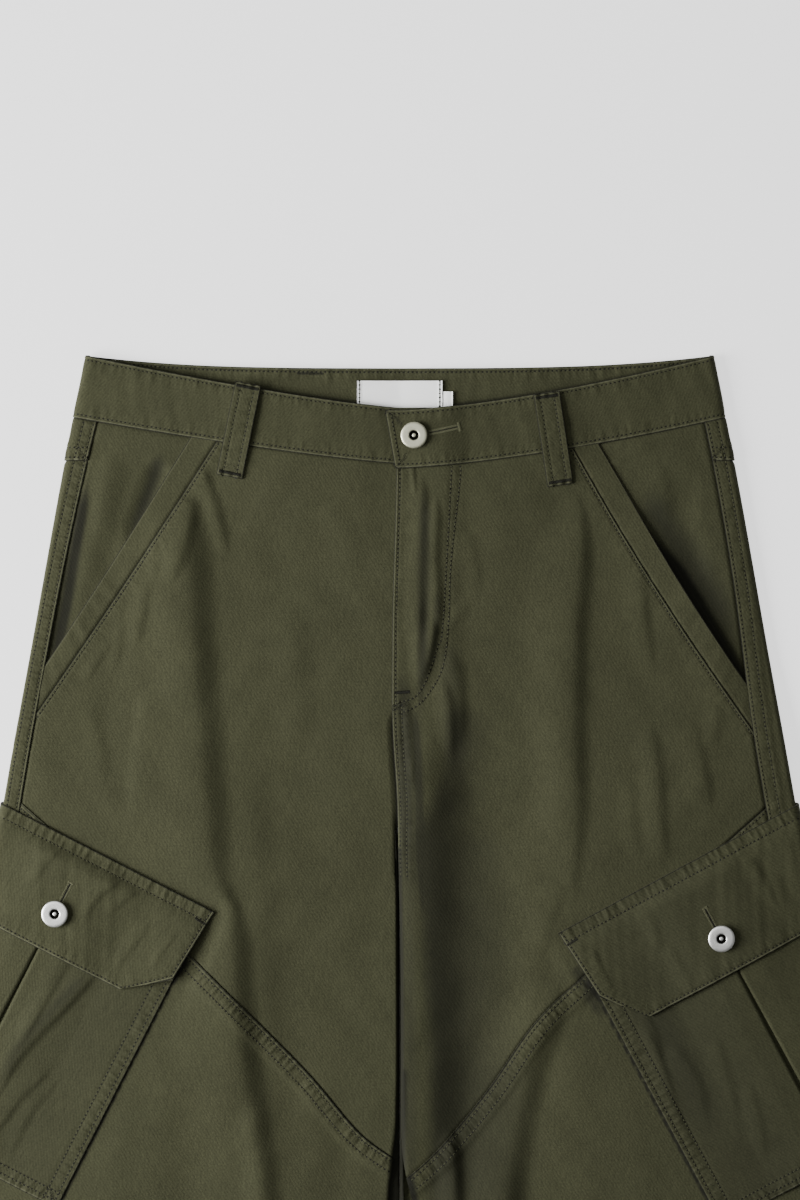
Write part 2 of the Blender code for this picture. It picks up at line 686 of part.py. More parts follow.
def build_cargo_pocket(side):
    """A bellowed patch pocket with a box pleat, wrapped round the side fold."""
    half = pleat_profile()
    both = half + [(FLAP_WIDTH - u, height) for u, height in reversed(half[:-1])]
    edge = len(half) - 5  # the pleat's folded edge
    fold_points = {edge, edge + 1, len(both) - 1 - edge, len(both) - 2 - edge}

    def ribbon(opening):
        """The inner and outer lines of the wall, at a given opening of the pleat."""
        line = []
        for i, (u, height) in enumerate(both):
            if i in fold_points:
                u += -opening / 2 if i < len(half) else opening / 2
            line.append(Vector((u, height)))
        offsets = []
        for i, point in enumerate(line):
            before = (point - line[max(i - 1, 0)]) if i else (line[1] - point)
            after = (line[i + 1] - point) if i < len(line) - 1 else before
            normals = [Vector((-d.y, d.x)).normalized() for d in (before, after)]
            mitre = (normals[0] + normals[1]).normalized()
            offsets.append(mitre * (CLOTH / 2 / max(mitre.dot(normals[0]), 0.5)))
        return line, offsets

    def place(a, b, c):
        v = mix(POCKET_TOP, POCKET_BOTTOM, b)
        opening = LAYER_GAP * 2 + CLOTH + PLEAT_OPEN * ease((v - PLEAT_SHUT) / PLEAT_SPREAD)
        line, offsets = ribbon(opening)
        i = round(a * (len(line) - 1))
        spot = line[i] + offsets[i] * (2 * c - 1)
        across, down = frame_place(side, spot.x, v)
        across, down = round_the_side(across, down)
        return Vector((across, down, spot.y))

    bm = slab(len(both) - 1, 6)
    lay(bm, place)
    crease_side(bm)
    return finish_piece(bm, f"cargo_pocket_{SIDE_NAMES[side]}", TWILL, on_side(side))


def pocket_top_height(u):
    """How high the pocket's outer face stands at u, with its pleat."""
    low = POCKET_LIFT + CLOTH
    raised = 2 * (CLOTH + LAYER_GAP)
    from_middle = abs(u - FLAP_WIDTH / 2)
    return low + raised * min(max((PLEAT_HALF + PLEAT_PAST + PLEAT_RAMP - from_middle) / PLEAT_RAMP, 0), 1)


def build_cargo_flap(side):
    """The flap, sewn on above the pocket and hanging over it, with its lower corners cut off."""
    frame = POCKET_FRAME[side]
    middle = FLAP_WIDTH / 2
    raised = middle - PLEAT_HALF - PLEAT_PAST
    ramp = raised - PLEAT_RAMP
    half = [0, frame.corner / 2, frame.corner, (frame.corner + ramp) / 2, ramp, raised]
    stations = half + [middle] + [FLAP_WIDTH - u for u in reversed(half)]
    on_pocket = FLAP_SEWN + FLAP_CLIMB
    levels = (0, FLAP_SEWN, on_pocket, (on_pocket + frame.side_drop) / 2, frame.side_drop, frame.drop)

    def place(a, b, c):
        u = stations[round(a * (len(stations) - 1))]
        v = levels[round(b * (len(levels) - 1))]
        if v == frame.drop:
            v = mix(frame.side_drop + 1, v, min(min(u, FLAP_WIDTH - u) / frame.corner, 1))
        taper = 1 - FLAP_TAPER / middle * min(v / frame.side_drop, 1)
        over_pocket = min(max((v - FLAP_SEWN) / FLAP_CLIMB, 0), 1)
        lowest = POCKET_LIFT + over_pocket * pocket_top_height(u)
        across, down = frame_place(side, middle + (u - middle) * taper, v)
        past = across - side_turn(down)
        across, down = round_the_side(across, down)
        hanging = POCKET_REST - FLAP_WALL - lowest
        lowest += max(hanging, 0) * ease(past / 20)
        return Vector((across, down, lowest + c * FLAP_WALL))

    bm = slab(len(stations) - 1, len(levels) - 1)
    lay(bm, place)
    crease_side(bm)
    return finish_piece(bm, f"cargo_flap_{SIDE_NAMES[side]}", TWILL, on_side(side))


def build_button(name, side, across, down, out):
    """A tack button: a ring with a rolled rim round a recess, in which the post shows."""
    hole, post, rim, top = BUTTON_HOLE_RADIUS, BUTTON_POST_RADIUS, BUTTON_RADIUS, BUTTON_HEIGHT
    head, floor, neck = top - BUTTON_POST_DROP, top - BUTTON_RECESS, top - BUTTON_NECK
    profile = [
        (0, head), (post, head), (post, floor), (hole, floor), (hole, top - BUTTON_ROUND / 2),
        (hole + BUTTON_ROUND, top), (rim - BUTTON_ROUND, top), (rim, top - BUTTON_ROUND),
        (rim, neck + BUTTON_ROUND), (rim - 2 * BUTTON_ROUND, neck), (hole, 0), (0, 0),
    ]
    bm = bmesh.new()
    verts = [bm.verts.new((radius * MM, 0, z * MM)) for radius, z in profile]
    for first, second in zip(verts, verts[1:]):
        bm.edges.new((first, second))
    mesh = bpy.data.meshes.new(name)
    bm.to_mesh(mesh)
    bm.free()
    mesh.materials.append(material(BUTTON_METAL))
    button = bpy.data.objects.new(name, mesh)
    TROUSERS.objects.link(button)
    button.location = skin(side, across, down, out)
    turned = button.modifiers.new("turned", "SCREW")
    turned.steps = turned.render_steps = 18
    turned.use_merge_vertices = True
    turned.merge_threshold = 1e-5
    turned.use_smooth_shade = True
    return button


def build_front_loops():
    """Each front loop arches over the waistband and ends on the panel below it."""
    def height(b):
        arch = LOOP_ARCH * math.sin(math.pi * min(b / LOOP_STEP, 1))
        return BAND_PROUD + POCKET_LIFT + arch - BAND_PROUD * ease((b - LOOP_STEP) / LOOP_STEP_LENGTH)

    for loop in FRONT_LOOPS:
        start = Vector((loop.top_across, loop.top_down))
        along = Vector((loop.end_across, loop.end_down)) - start
        sideways = Vector((along.y, -along.x)).normalized() * LOOP_WIDTH

        def place(a, b, c):
            spot = start + along * b + sideways * (a - 0.5)
            return Vector((spot.x, spot.y, height(b) + c * LOOP_WALL))

        bm = slab(2, 8)
        lay(bm, place)
        finish_piece(bm, loop.name, TWILL, on_side(loop.side))


def on_back(x, down, out):
    """A place on the underside of the trousers, at x from the centre line."""
    side = LEFT if x < 0 else RIGHT
    return skin(side, 2 * side_turn(down) - abs(x), down, out)


def build_back_loops():
    """The back loops are pressed flat between the waistband and the ground."""
    top, bottom = BACK_LOOP_DOWN
    for side in (LEFT, RIGHT):
        def place(a, b, c):
            x = side * BACK_LOOP_X + LOOP_WIDTH * (a - 0.5)
            return Vector((x, mix(top, bottom, b), LOOP_REST + (c - 1) * LOOP_WALL))

        bm = slab(2, 6)
        lay(bm, place)
        finish_piece(bm, f"belt_loop_back_{SIDE_NAMES[side]}", TWILL, on_back)


def build_labels():
    """The woven label and the size tab, on the inner face of the waistband's back."""
    inner_face = BAND_PROUD - BAND_WALL - LABEL_GAP

    def flat_label(name, x_start, x_end, top, height):
        def place(a, b, c):
            return Vector((mix(x_start, x_end, a), top + height * b, inner_face + (c - 1) * LABEL_WALL))

        bm = slab(math.ceil((x_end - x_start) / LABEL_CELL), 3)
        lay(bm, place)
        return finish_piece(bm, name, LABEL_WEAVE, on_back)

    flat_label("label", -LABEL_HALF, LABEL_HALF, LABEL_TOP, LABEL_HEIGHT)
    tab_start = LABEL_HALF + LAYER_GAP
    flat_label("size_tab", tab_start, tab_start + TAB_WIDTH, TAB_TOP, TAB_HEIGHT)


TROUSERS = start_scene()
build_waistband()
for leg in (LEFT, RIGHT):
    build_yoke(leg)
    build_back(leg)
    build_front_upper(leg)
    build_front_lower(leg)
    build_hand_pocket(leg)
    build_cargo_pocket(leg)
    build_cargo_flap(leg)
    flap_middle = frame_place(leg, FLAP_WIDTH / 2, POCKET_FRAME[leg].button_drop)
    flap_top = POCKET_LIFT + pocket_top_height(FLAP_WIDTH / 2) + FLAP_WALL
    build_button(f"flap_button_{SIDE_NAMES[leg]}", leg, *flap_middle, flap_top + LAYER_GAP)
build_front_loops()
build_back_loops()
build_labels()
button_height = BAND_PROUD + BAND_WALL + 2 * LAYER_GAP
build_button("waist_button", RIGHT, *WAIST_BUTTON, button_height)
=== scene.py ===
"""Wide-leg cargo trousers in olive cotton twill, laid flat on their back with the waist towards +Y.

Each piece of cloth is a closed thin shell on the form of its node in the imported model. Its grid is laid over
the trousers' skin in millimetres: across (from the centre line over the front, round the side fold and back
along the underside), down (below the waist's top corners) and out (away from the wearer). A spot on the cloth
is one complex number, across + down * 1j. LEFT is the leg at -X, which is the wearer's right leg.
"""

import math
from collections import namedtuple

import bmesh
import bpy
import numpy as np
from mathutils import Matrix, Vector
from mathutils.bvhtree import BVHTree
from mathutils.geometry import barycentric_transform


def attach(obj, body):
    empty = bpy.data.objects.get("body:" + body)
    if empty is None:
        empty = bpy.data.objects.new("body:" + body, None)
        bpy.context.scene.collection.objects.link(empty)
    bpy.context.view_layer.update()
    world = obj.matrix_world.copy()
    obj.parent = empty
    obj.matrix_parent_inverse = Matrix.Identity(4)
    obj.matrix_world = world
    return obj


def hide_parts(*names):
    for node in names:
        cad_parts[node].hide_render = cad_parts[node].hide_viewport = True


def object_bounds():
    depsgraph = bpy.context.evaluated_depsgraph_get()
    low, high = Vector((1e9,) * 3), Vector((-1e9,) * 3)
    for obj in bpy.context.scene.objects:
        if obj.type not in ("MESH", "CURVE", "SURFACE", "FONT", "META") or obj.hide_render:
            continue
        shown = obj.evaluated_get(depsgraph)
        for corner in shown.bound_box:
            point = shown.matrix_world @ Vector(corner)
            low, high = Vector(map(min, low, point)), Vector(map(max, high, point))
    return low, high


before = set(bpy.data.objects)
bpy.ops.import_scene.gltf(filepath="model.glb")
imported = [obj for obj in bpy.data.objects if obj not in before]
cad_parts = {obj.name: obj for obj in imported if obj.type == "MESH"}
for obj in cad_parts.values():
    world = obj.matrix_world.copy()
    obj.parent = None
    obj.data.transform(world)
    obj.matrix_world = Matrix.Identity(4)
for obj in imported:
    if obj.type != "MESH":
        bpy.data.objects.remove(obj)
cad_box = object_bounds()

# ---------------------------------------------------------------------------------------------------------
# Back legs
# Each back leg is one panel of twill. It laps over the side fold to a felled seam on the front, runs to the
# centre back under the yoke, and is turned up twice at the hem and stitched.

MM = 0.001  # metres in a millimetre; every length below is in millimetres
LEFT, RIGHT = -1, 1
NAMES = {LEFT: "left", RIGHT: "right"}
LENGTH = (cad_box[1].y - cad_box[0].y) / MM
CLOTH = 1.0  # one layer of twill
THICKNESS = 6.5  # the trousers lying flat, outer skin to outer skin
FOLD_RADIUS = THICKNESS / 2
CROTCH_DOWN = 306.0
PART_START, PART_END = 290.0, 330.0  # where the legs part
HEM_TURN = 28.0
HEM_EXTRA, HEM_STEP = 0.9, 4.0
YOKE_DOWN, YOKE_POINT = 68.0, 30.0
TUCK = 1.6  # an underlying edge runs on this far under the piece that laps over it

Edge = namedtuple("Edge", "down outer left right")
LEG_EDGES = (
    Edge(0, 202.5, 2.4, -1.8),
    Edge(80, 218.3, 2.8, -2.2),
    Edge(184, 236.8, 5.4, -4.8),
    Edge(240, 246.7, 5.4, -4.6),
    Edge(287, 255.0, 2.5, -1.7),
    Edge(330, 262.6, 1.5, -0.6),
    Edge(400, 272.4, 1.0, 0.6),
    Edge(480, 281.5, 1.2, 0.8),
    Edge(500, 283.4, 1.8, 0.9),
    Edge(519, 285.1, 4.2, 1.2),
    Edge(545, 287.4, 6.2, 1.6),
    Edge(610, 291.2, 8.5, 6.0),
    Edge(760, 294.0, 24.0, 25.0),
    Edge(900, 291.5, 35.0, 36.0),
    Edge(LENGTH, 286.0, 43.0, 44.0),
)
SeamInset = namedtuple("SeamInset", "down left right")
SIDE_SEAM = (
    SeamInset(0, 18.0, 15.0),
    SeamInset(80, 14.3, 14.3),
    SeamInset(150, 11.8, 15.0),
    SeamInset(245, 11.0, 19.5),
    SeamInset(400, 13.5, 18.5),
    SeamInset(LENGTH, 16.0, 16.0),
)
FLAT_FOLD = {LEFT: 3.4, RIGHT: 5.5}  # the inner folds' width below the crotch
FLAT_FOLD_DOWN, FLAT_FOLD_REACH = 560.0, 60.0
TIGHT_FOLD, TIGHT_END, TIGHT_FALL = 1.8, 490.0, 50.0  # their width above that, where the legs press together
BACK_APART = 0.17  # from the centre line to each back piece
LIP_END, LIP_FALL = 570.0, 50.0  # down to here the back legs meet under the gap between the front legs
LIP_ANGLE, LIP_GAP = 0.45, 0.1  # they come together over this much of their fold, in radians, and this near

# A cargo pocket's frame: its flap's inner top corner, and how far its top edge rises towards the side.
PocketFrame = namedtuple("PocketFrame", "corner tilt side_drop cut drop button_drop")
POCKET_FRAME = {
    LEFT: PocketFrame(119.3+358.9j, math.radians(27.1), 49.5, 29.4, 71.8, 47.0),
    RIGHT: PocketFrame(102.2+372.5j, math.radians(28.3), 47.4, 24.0, 75.2, 52.0),
}
FLAP_WIDTH = 181.0
POCKET_BOTTOM, POCKET_INSET, FLAP_TAPER = 216.0, 3.5, 4.0
POCKET_REST, REST_MARGIN, REST_FALL = 4.0, 26.0, 80.0
BACK_LOOP_X, BACK_LOOP_TOP, BACK_LOOP_END, LOOP_WIDTH = 57.0, 10.5, 70.0, 17.0
LOOP_REST, LOOP_REST_MARGIN, LOOP_REST_FALL = 2.4, 13.0, 50.0
BAND_PROUD, BAND_REST_END, BAND_REST_FALL = 0.5, 60.0, 60.0

# Folds and creases of the front: how high each stands (negative: how deep it lies), how far it takes to level
# out towards the centre line and towards the side, and the line of its crest, running down the leg.
Crease = namedtuple("Crease", "height inner outer path")
CREASES = {LEFT: (
    Crease(3.6, 19, 56, (133+84j, 135+94j, 138+119j, 137+142j, 135+171j, 134+200j, 132+226j, 129.5+248j,
        128+274j, 125.5+300j, 124+320j, 118+340j, 110+358j, 98+388j)),
    Crease(1.3, 26, 30, (138+92j, 142+126j, 141+160j, 136+200j, 131+250j)),
    Crease(1.5, 9, 16, (134+90j, 136+106j, 142+126j, 148+150j)),
    Crease(1.4, 6, 12, (128+72j, 125+82j, 120+97j, 115+116j, 110+134j)),
    Crease(1.0, 6.5, 12, (164+146j, 167+168j, 171+192j)),
    Crease(0.7, 5, 11, (179+170j, 182+188j, 185+206j)),
    Crease(0.6, 4.5, 9, (186+183j, 195+197j, 204+212j)),
    Crease(0.6, 3.5, 6, (159+120j, 158+132j, 157+146j)),
    Crease(0.9, 20, 9, (163+214j, 167+260j, 173+308j)),
    Crease(0.6, 7, 12, (199+224j, 194+250j, 190+278j)),
    Crease(0.6, 12, 16, (47+92j, 36+115j, 24+144j)),
    Crease(0.8, 15, 20, (73+156j, 66+214j, 68+262j)),
    Crease(-0.9, 46, 18, (80+250j, 76+330j, 74+400j, 74+470j)),
    Crease(3.9, 16, 48, (122+326j, 117+342j, 111+360j, 108+398j, 107+420j, 104+446j, 99+480j, 94+513j,
        91+545j, 88+600j, 80+700j, 70+790j)),
    Crease(2.6, 32, 20, (92+474j, 88+500j, 84+530j, 80+570j, 74+640j)),
    Crease(1.1, 22, 22, (60+470j, 54+545j, 50+640j, 44+740j)),
    Crease(2.6, 15, 26, (196+640j, 214+800j, 208+1010j)),
    Crease(-1.6, 20, 14, (150+620j, 166+800j, 158+990j)),
    Crease(1.8, 14, 20, (248+600j, 238+720j, 250+880j)),
    Crease(1.8, 20, 15, (108+720j, 112+850j, 96+1000j)),
), RIGHT: (
    Crease(2.2, 32, 11, (114+84j, 115+94j, 116+123j, 115+145j, 112.5+168j, 112+210j, 111+229j, 112+261j,
        113+287j, 112+319j, 110+345j, 108+366j, 106+384j)),
    Crease(1.0, 30, 24, (107+110j, 106+150j, 104+200j, 104+250j, 106+300j, 104+340j)),
    Crease(0.9, 16, 6.5, (153+130j, 156+158j, 159+184j, 163+212j)),
    Crease(1.35, 16, 7.5, (160+236j, 163+252j, 166+277j, 167+303j, 170+322j, 172+336j)),
    Crease(0.6, 10, 6, (148+270j, 150+300j, 154+328j)),
    Crease(1.0, 17, 8, (189+236j, 191+252j, 195+273j, 200+300j)),
    Crease(0.8, 8, 7, (206+226j, 198+256j)),
    Crease(0.6, 3.4, 2.6, (8+70j, 9+80j, 10+92j)),
    Crease(1.4, 12, 6.5, (13.5+74j, 14+94j, 13.2+119j, 12.6+145j, 12+171j, 11.3+186j, 10.8+208j)),
    Crease(1.4, 9, 5.5, (24+90j, 22.8+113j, 22.4+132j, 23.6+152j, 24+170j, 21.5+182j, 18+200j)),
    Crease(2.2, 14, 5, (22.5+172j, 19.6+190j, 16+204j, 10+215j)),
    Crease(0.6, 6, 4.6, (24+190j, 33+173j, 50+150j)),
    Crease(0.6, 12, 7, (43+112j, 48+140j, 49+162j)),
    Crease(1.3, 10, 6, (26+208j, 30+222j, 32+238j, 34+264j)),
    Crease(1.2, 13, 8, (31+192j, 36+206j, 38+226j, 38+256j)),
    Crease(0.7, 4, 4, (4+220j, 6+245j, 9+284j)),
    Crease(4.4, 34, 36, (16+236j, 18+262j, 14+286j, 8+316j, 7+360j, 7+400j, 8+440j, 8+490j, 6+540j,
        4+600j)),
    Crease(1.2, 14, 24, (7+250j, 9+281j, 11+306j, 11+339j, 12+384j, 13+416j, 14+448j)),
    Crease(-3.0, 34, 70, (44+206j, 47+240j, 52+280j, 53+350j, 54+410j, 53+470j, 49+530j, 44+600j)),
    Crease(-1.6, 50, 44, (66+280j, 76+350j, 78+410j, 72+470j, 66+540j)),
    Crease(3.0, 15, 8, (31+496j, 34+512j, 35.5+545j, 34+600j, 30+660j)),
    Crease(4.2, 36, 17, (104+396j, 95+422j, 83+455j, 73+500j, 67+545j, 60+620j, 52+700j)),
    Crease(1.1, 17, 9, (102+338j, 96+368j, 88+392j)),
    Crease(1.0, 22, 18, (84+300j, 88+360j, 84+430j)),
    Crease(2.4, 20, 15, (172+620j, 154+780j, 144+950j)),
    Crease(1.9, 24, 24, (104+680j, 94+820j, 98+1000j)),
    Crease(-1.6, 14, 18, (226+600j, 238+740j, 230+900j)),
    Crease(1.7, 20, 18, (200+660j, 196+800j, 206+980j)),
)}
LOWEST_RELIEF = -4.3  # there the front lies on the back
# Painted shade in the hollows that little light gets into, laid out like the creases, with how dark each is as
# its height.
HOLLOWS = {RIGHT: (
    Crease(0.3, 10, 30, (37+222j, 36+244j, 34+262j, 30+284j, 26+310j)),
    Crease(0.56, 12, 56, (31+262j, 28+275j, 25+290j, 18+310j, 18+335j, 21+364j, 23+403j, 27+442j, 27+480j,
        26+520j, 22+640j)),
    Crease(0.55, 6, 6, (16.5+80j, 16+119j, 15.5+150j, 15+184j, 14.5+210j, 11+250j)),
    Crease(0.35, 5, 4, (25+150j, 24.5+170j, 22.5+186j, 19+202j, 10+216j)),
    Crease(0.3, 9, 8, (5+205j, 6+260j, 6+340j, 6+420j, 7+500j, 8+640j)),
    Crease(0.8, 4, 4, (9+224j, 11+244j, 12.5+272j, 13+300j, 14+330j, 15+370j)),
    Crease(0.45, 8, 8, (2+200j, 3+240j, 3+290j, 4+350j)),
    Crease(0.12, 24, 24, (56+300j, 60+360j, 64+440j)),
    Crease(0.24, 13, 14, (29+180j, 33+210j, 35+240j, 38+285j)),
    Crease(0.2, 30, 30, (74+440j, 70+510j, 66+640j)),
    Crease(1.0, 5, 5, (112+392j, 121+410j, 132+430j)),
)}
MOST_HOLLOW = 0.56  # where hollows of a front panel overlap, they get no darker than this
CREASE_START, CREASE_END = 0.14, 0.34  # shares of a crease's length over which it rises and fades
CREASE_NARROW = 0.4  # its width at its ends, as a share of its full width
UNEVEN_LENGTH, UNEVEN_HEIGHT, UNEVEN_WIDTH = 160.0, 0.14, 0.12  # how its height and width vary along it
UNEVEN_REACH = 15.0  # a crease wider than this is more even
SIDE_CLEAR, SIDE_FADE = 4.0, 24.0  # creases end this far inside the silhouette, after fading


def through(at, to):
    """A smooth function through these values, held level beyond its ends. The values may be spots."""
    at, to = np.array(at, float), np.array(to)
    slope = np.gradient(to, at)

    def read(x):
        x = np.clip(x, at[0], at[-1])
        i = np.minimum(np.searchsorted(at, x, side="right"), len(at) - 1) - 1
        span = at[i + 1] - at[i]
        t = (x - at[i]) / span
        rise = to[i + 1] - to[i]
        start, end = slope[i] * span - rise, slope[i + 1] * span - rise
        return to[i] + rise * t + t * (1 - t) * (start * (1 - t) - end * t)

    return read


def column(rows, key, value):
    return through([getattr(row, key) for row in rows], [getattr(row, value) for row in rows])


outer_edge = column(LEG_EDGES, "down", "outer")
front_inner_edge = {side: column(LEG_EDGES, "down", name) for side, name in NAMES.items()}
seam_inset = {side: column(SIDE_SEAM, "down", name) for side, name in NAMES.items()}


def ease(x):
    """0 below 0, 1 above 1, and a smooth step between."""
    x = np.clip(x, 0, 1)
    return x * x * (3 - 2 * x)


def mix(a, b, t):
    return a + (b - a) * t


def line_through(spots, count=24):
    """A smooth line of spots through a few of them."""
    return through(range(len(spots)), spots)(np.linspace(0, len(spots) - 1, count))


def beside(path, spot):
    """How far along a line each spot lies, and how far from it: positive is on the right, looking down it."""
    step = np.diff(path)
    lengths = np.abs(step)
    away = spot[:, None] - path[None, :-1]
    t = np.clip((away * step.conj()).real / lengths**2, 0, 1)
    apart = np.abs(away - t * step)
    nearest = apart.argmin(axis=1)
    pick = np.arange(len(spot)), nearest
    before = np.concatenate([[0], np.cumsum(lengths)])
    turn = np.where((away[pick] * step[nearest].conj()).imag < 0, 1.0, -1.0)
    return before[nearest] + t[pick] * lengths[nearest], apart[pick] * turn


def parted(down):
    """0 where the two fronts are sewn together, 1 where the legs are apart."""
    return ease((down - PART_START) / (PART_END - PART_START))


def inner_edge(side, down, under):
    """Across, to the silhouette at the centre line and the inner leg."""
    return np.where(under & (down < PART_END), BACK_APART, front_inner_edge[side](down))


def inner_radius(side, down):
    flat = np.exp(-(((down - FLAT_FOLD_DOWN) / FLAT_FOLD_REACH) ** 2))
    tight = parted(down) * (1 - ease((down - TIGHT_END) / TIGHT_FALL))
    return mix(mix(FOLD_RADIUS, TIGHT_FOLD, tight), FLAT_FOLD[side], flat)


def quarter(radius, round_share):
    """The cloth's length from a fold's middle to where it lies flat: straight at 0, a quarter circle at 1."""
    return radius * (1 + round_share * (math.pi / 2 - 1))


def side_turn(down):
    """Across, over the front and round the side fold to its outermost line."""
    return outer_edge(down) + quarter(FOLD_RADIUS, 1) - FOLD_RADIUS


def inner_turn(side, down, under=False):
    """Across, to the middle of the fold at the centre line and the inner leg."""
    radius = inner_radius(side, down)
    return inner_edge(side, down, under) + radius - quarter(radius, parted(down))


def side_seam(side, down):
    return outer_edge(down) - seam_inset[side](down)


def in_frame(side, spot):
    """A spot in the frame of the cargo pocket: along its flap's top edge, and below it."""
    frame_turn = np.exp(1j * POCKET_FRAME[side].tilt)
    return (spot - POCKET_FRAME[side].corner) * frame_turn


def from_frame(side, spot):
    frame_turn = np.exp(-1j * POCKET_FRAME[side].tilt)
    return POCKET_FRAME[side].corner + spot * frame_turn


def pocket_share(side, spot, margin=REST_MARGIN, fall=REST_FALL):
    """1 where a cargo pocket lies or nearly so, and 0 well away from it."""
    place = in_frame(side, spot)
    sideways = np.maximum(-place.real, place.real - FLAP_WIDTH)
    lengthways = np.maximum(-place.imag, place.imag - POCKET_BOTTOM)
    outside = np.hypot(np.maximum(sideways, 0), np.maximum(lengthways, 0))
    return 1 - ease((outside - margin) / fall)


def rest_height(side, x, down):
    """How far the back of the trousers lies above the ground, on what is under it."""
    band = BAND_PROUD * (1 - ease((down - BAND_REST_END) / BAND_REST_FALL))
    sideways = np.maximum(np.abs(np.abs(x) - BACK_LOOP_X) - LOOP_WIDTH / 2, 0)
    past = np.hypot(sideways, np.maximum(down - BACK_LOOP_END, 0)) - LOOP_REST_MARGIN
    on_loop = band + (LOOP_REST - band) * (1 - ease(past / LOOP_REST_FALL))
    return np.maximum(on_loop, POCKET_REST * pocket_share(side, x + 1j * down))


def ripple(along, seed, longest=22.0):
    """A smooth uneven wave along a line, mostly between -1 and 1."""
    lengths = longest * np.array([1.0, 0.61, 0.43, 0.29])
    shifts = np.random.RandomState(seed).uniform(0, 2 * math.pi, (4, 2))
    return sum(
        np.sin(2 * math.pi * along / length + shift) * (0.45 + 0.3 * np.sin(along / (2.3 * length) + slow))
        for length, (shift, slow) in zip(lengths, shifts)
    ) / 1.6


def near_line(path, spot, reach):
    """Whether each spot lies in the box round a line, with this much room."""
    near = (spot.real > path.real.min() - reach) & (spot.real < path.real.max() + reach)
    return near & (spot.imag > path.imag.min() - reach) & (spot.imag < path.imag.max() + reach)


def folds(creases, side, spot):
    """Height of these creases at each spot. Each starts and ends low and narrow."""
    height = np.zeros(len(spot))
    for crease in creases.get(side, ()):
        path = line_through(crease.path)
        reach = max(crease.inner, crease.outer)
        near = near_line(path, spot, reach)
        if near.any():
            along, apart = beside(path, spot[near])
            share = along / np.abs(np.diff(path)).sum()
            fade = ease(share / CREASE_START) * ease((1 - share) / CREASE_END)
            uneven = ripple(along, int(abs(path[0])), UNEVEN_LENGTH) * min(1, UNEVEN_REACH / reach)
            wide = np.where(apart > 0, crease.outer, crease.inner) * mix(CREASE_NARROW, 1, fade)
            wide = wide * (1 - UNEVEN_WIDTH * uneven)
            tall = crease.height * (1 + UNEVEN_HEIGHT * uneven) * fade
            height[near] += tall * ease(1 - np.abs(apart) / wide)
    return height


def relief(side, x, down):
    """The front's folds and slight waves, flat where a cargo pocket lies and at the silhouette."""
    spot = x + 1j * down
    height = folds(CREASES, side, spot)
    height += 0.35 * np.sin(x / 19 + 2.1 * np.sin(down / 57)) * np.sin(down / 43 + side)
    height += 0.22 * np.sin(x / 6.1 + 2.6 * np.sin(down / 23)) * np.sin(down / 17 + 2 * np.sin(x / 29))
    at_edge = ease((outer_edge(down) - x - SIDE_CLEAR) / SIDE_FADE)
    return np.maximum(height, LOWEST_RELIEF) * at_edge * (1 - pocket_share(side, spot, 1.0, 14.0))


def skin(side, across, down, out):
    """World places, in metres, of spots on the trousers, moved out from their skin."""
    turn = side_turn(down)
    under = across > turn
    x = np.where(under, 2 * turn - across, across)
    inner = inner_turn(side, down)
    turned_over = under & (x < inner) & (down > CROTCH_DOWN)  # past the inner fold, back onto the front
    under = under & ~turned_over
    x = np.where(turned_over, 2 * inner - x, x)
    facing = np.where(under, -1.0, 1.0)
    bottom = rest_height(side, x, down)
    half = (THICKNESS + relief(side, x, down)) / 2
    middle = bottom + half
    round_side = quarter(FOLD_RADIUS, 1)
    from_side = turn - x
    side_angle = np.clip(from_side / round_side, 0, 1) * math.pi / 2
    radius, round_share = inner_radius(side, down), parted(down)
    from_inner = (x - inner_turn(side, down, under)) / quarter(radius, round_share)
    inner_angle = np.clip(from_inner, 0, 1) * math.pi / 2
    turned = mix(radius * from_inner, radius - (radius + out) * np.cos(inner_angle), round_share)
    at_side, at_inner = from_side < round_side, from_inner < 1
    x = np.where(at_side, outer_edge(down) - FOLD_RADIUS + (FOLD_RADIUS + out) * np.cos(side_angle), x)
    x = np.where(at_inner & ~at_side, inner_edge(side, down, under) + turned, x)
    meets = ease(np.minimum(inner_angle, math.pi / 2 - inner_angle) / LIP_ANGLE)
    meets = meets * (1 - ease((down - LIP_END) / LIP_FALL)) * round_share
    x = np.where(at_inner & under, mix(x, LIP_GAP - np.minimum(out, 0), meets), x)
    height = np.where(at_side, np.sin(side_angle), 1.0)
    height = np.where(at_inner & ~at_side, mix(1, np.sin(inner_angle), round_share), height)
    height = np.maximum(middle + facing * (half + out) * height, 0)  # nothing goes below the ground
    return np.stack([side * x, LENGTH / 2 - down, height], axis=1) * MM


def on_skin(side, spot, out):
    """World places of spots on the skin. side is one leg, or one for each spot."""
    if np.ndim(side) == 0:
        return skin(side, spot.real, spot.imag, out)
    place = skin(LEFT, spot.real, spot.imag, out)
    right = side == RIGHT
    place[right] = skin(RIGHT, spot.real[right], spot.imag[right], out[right])
    return place
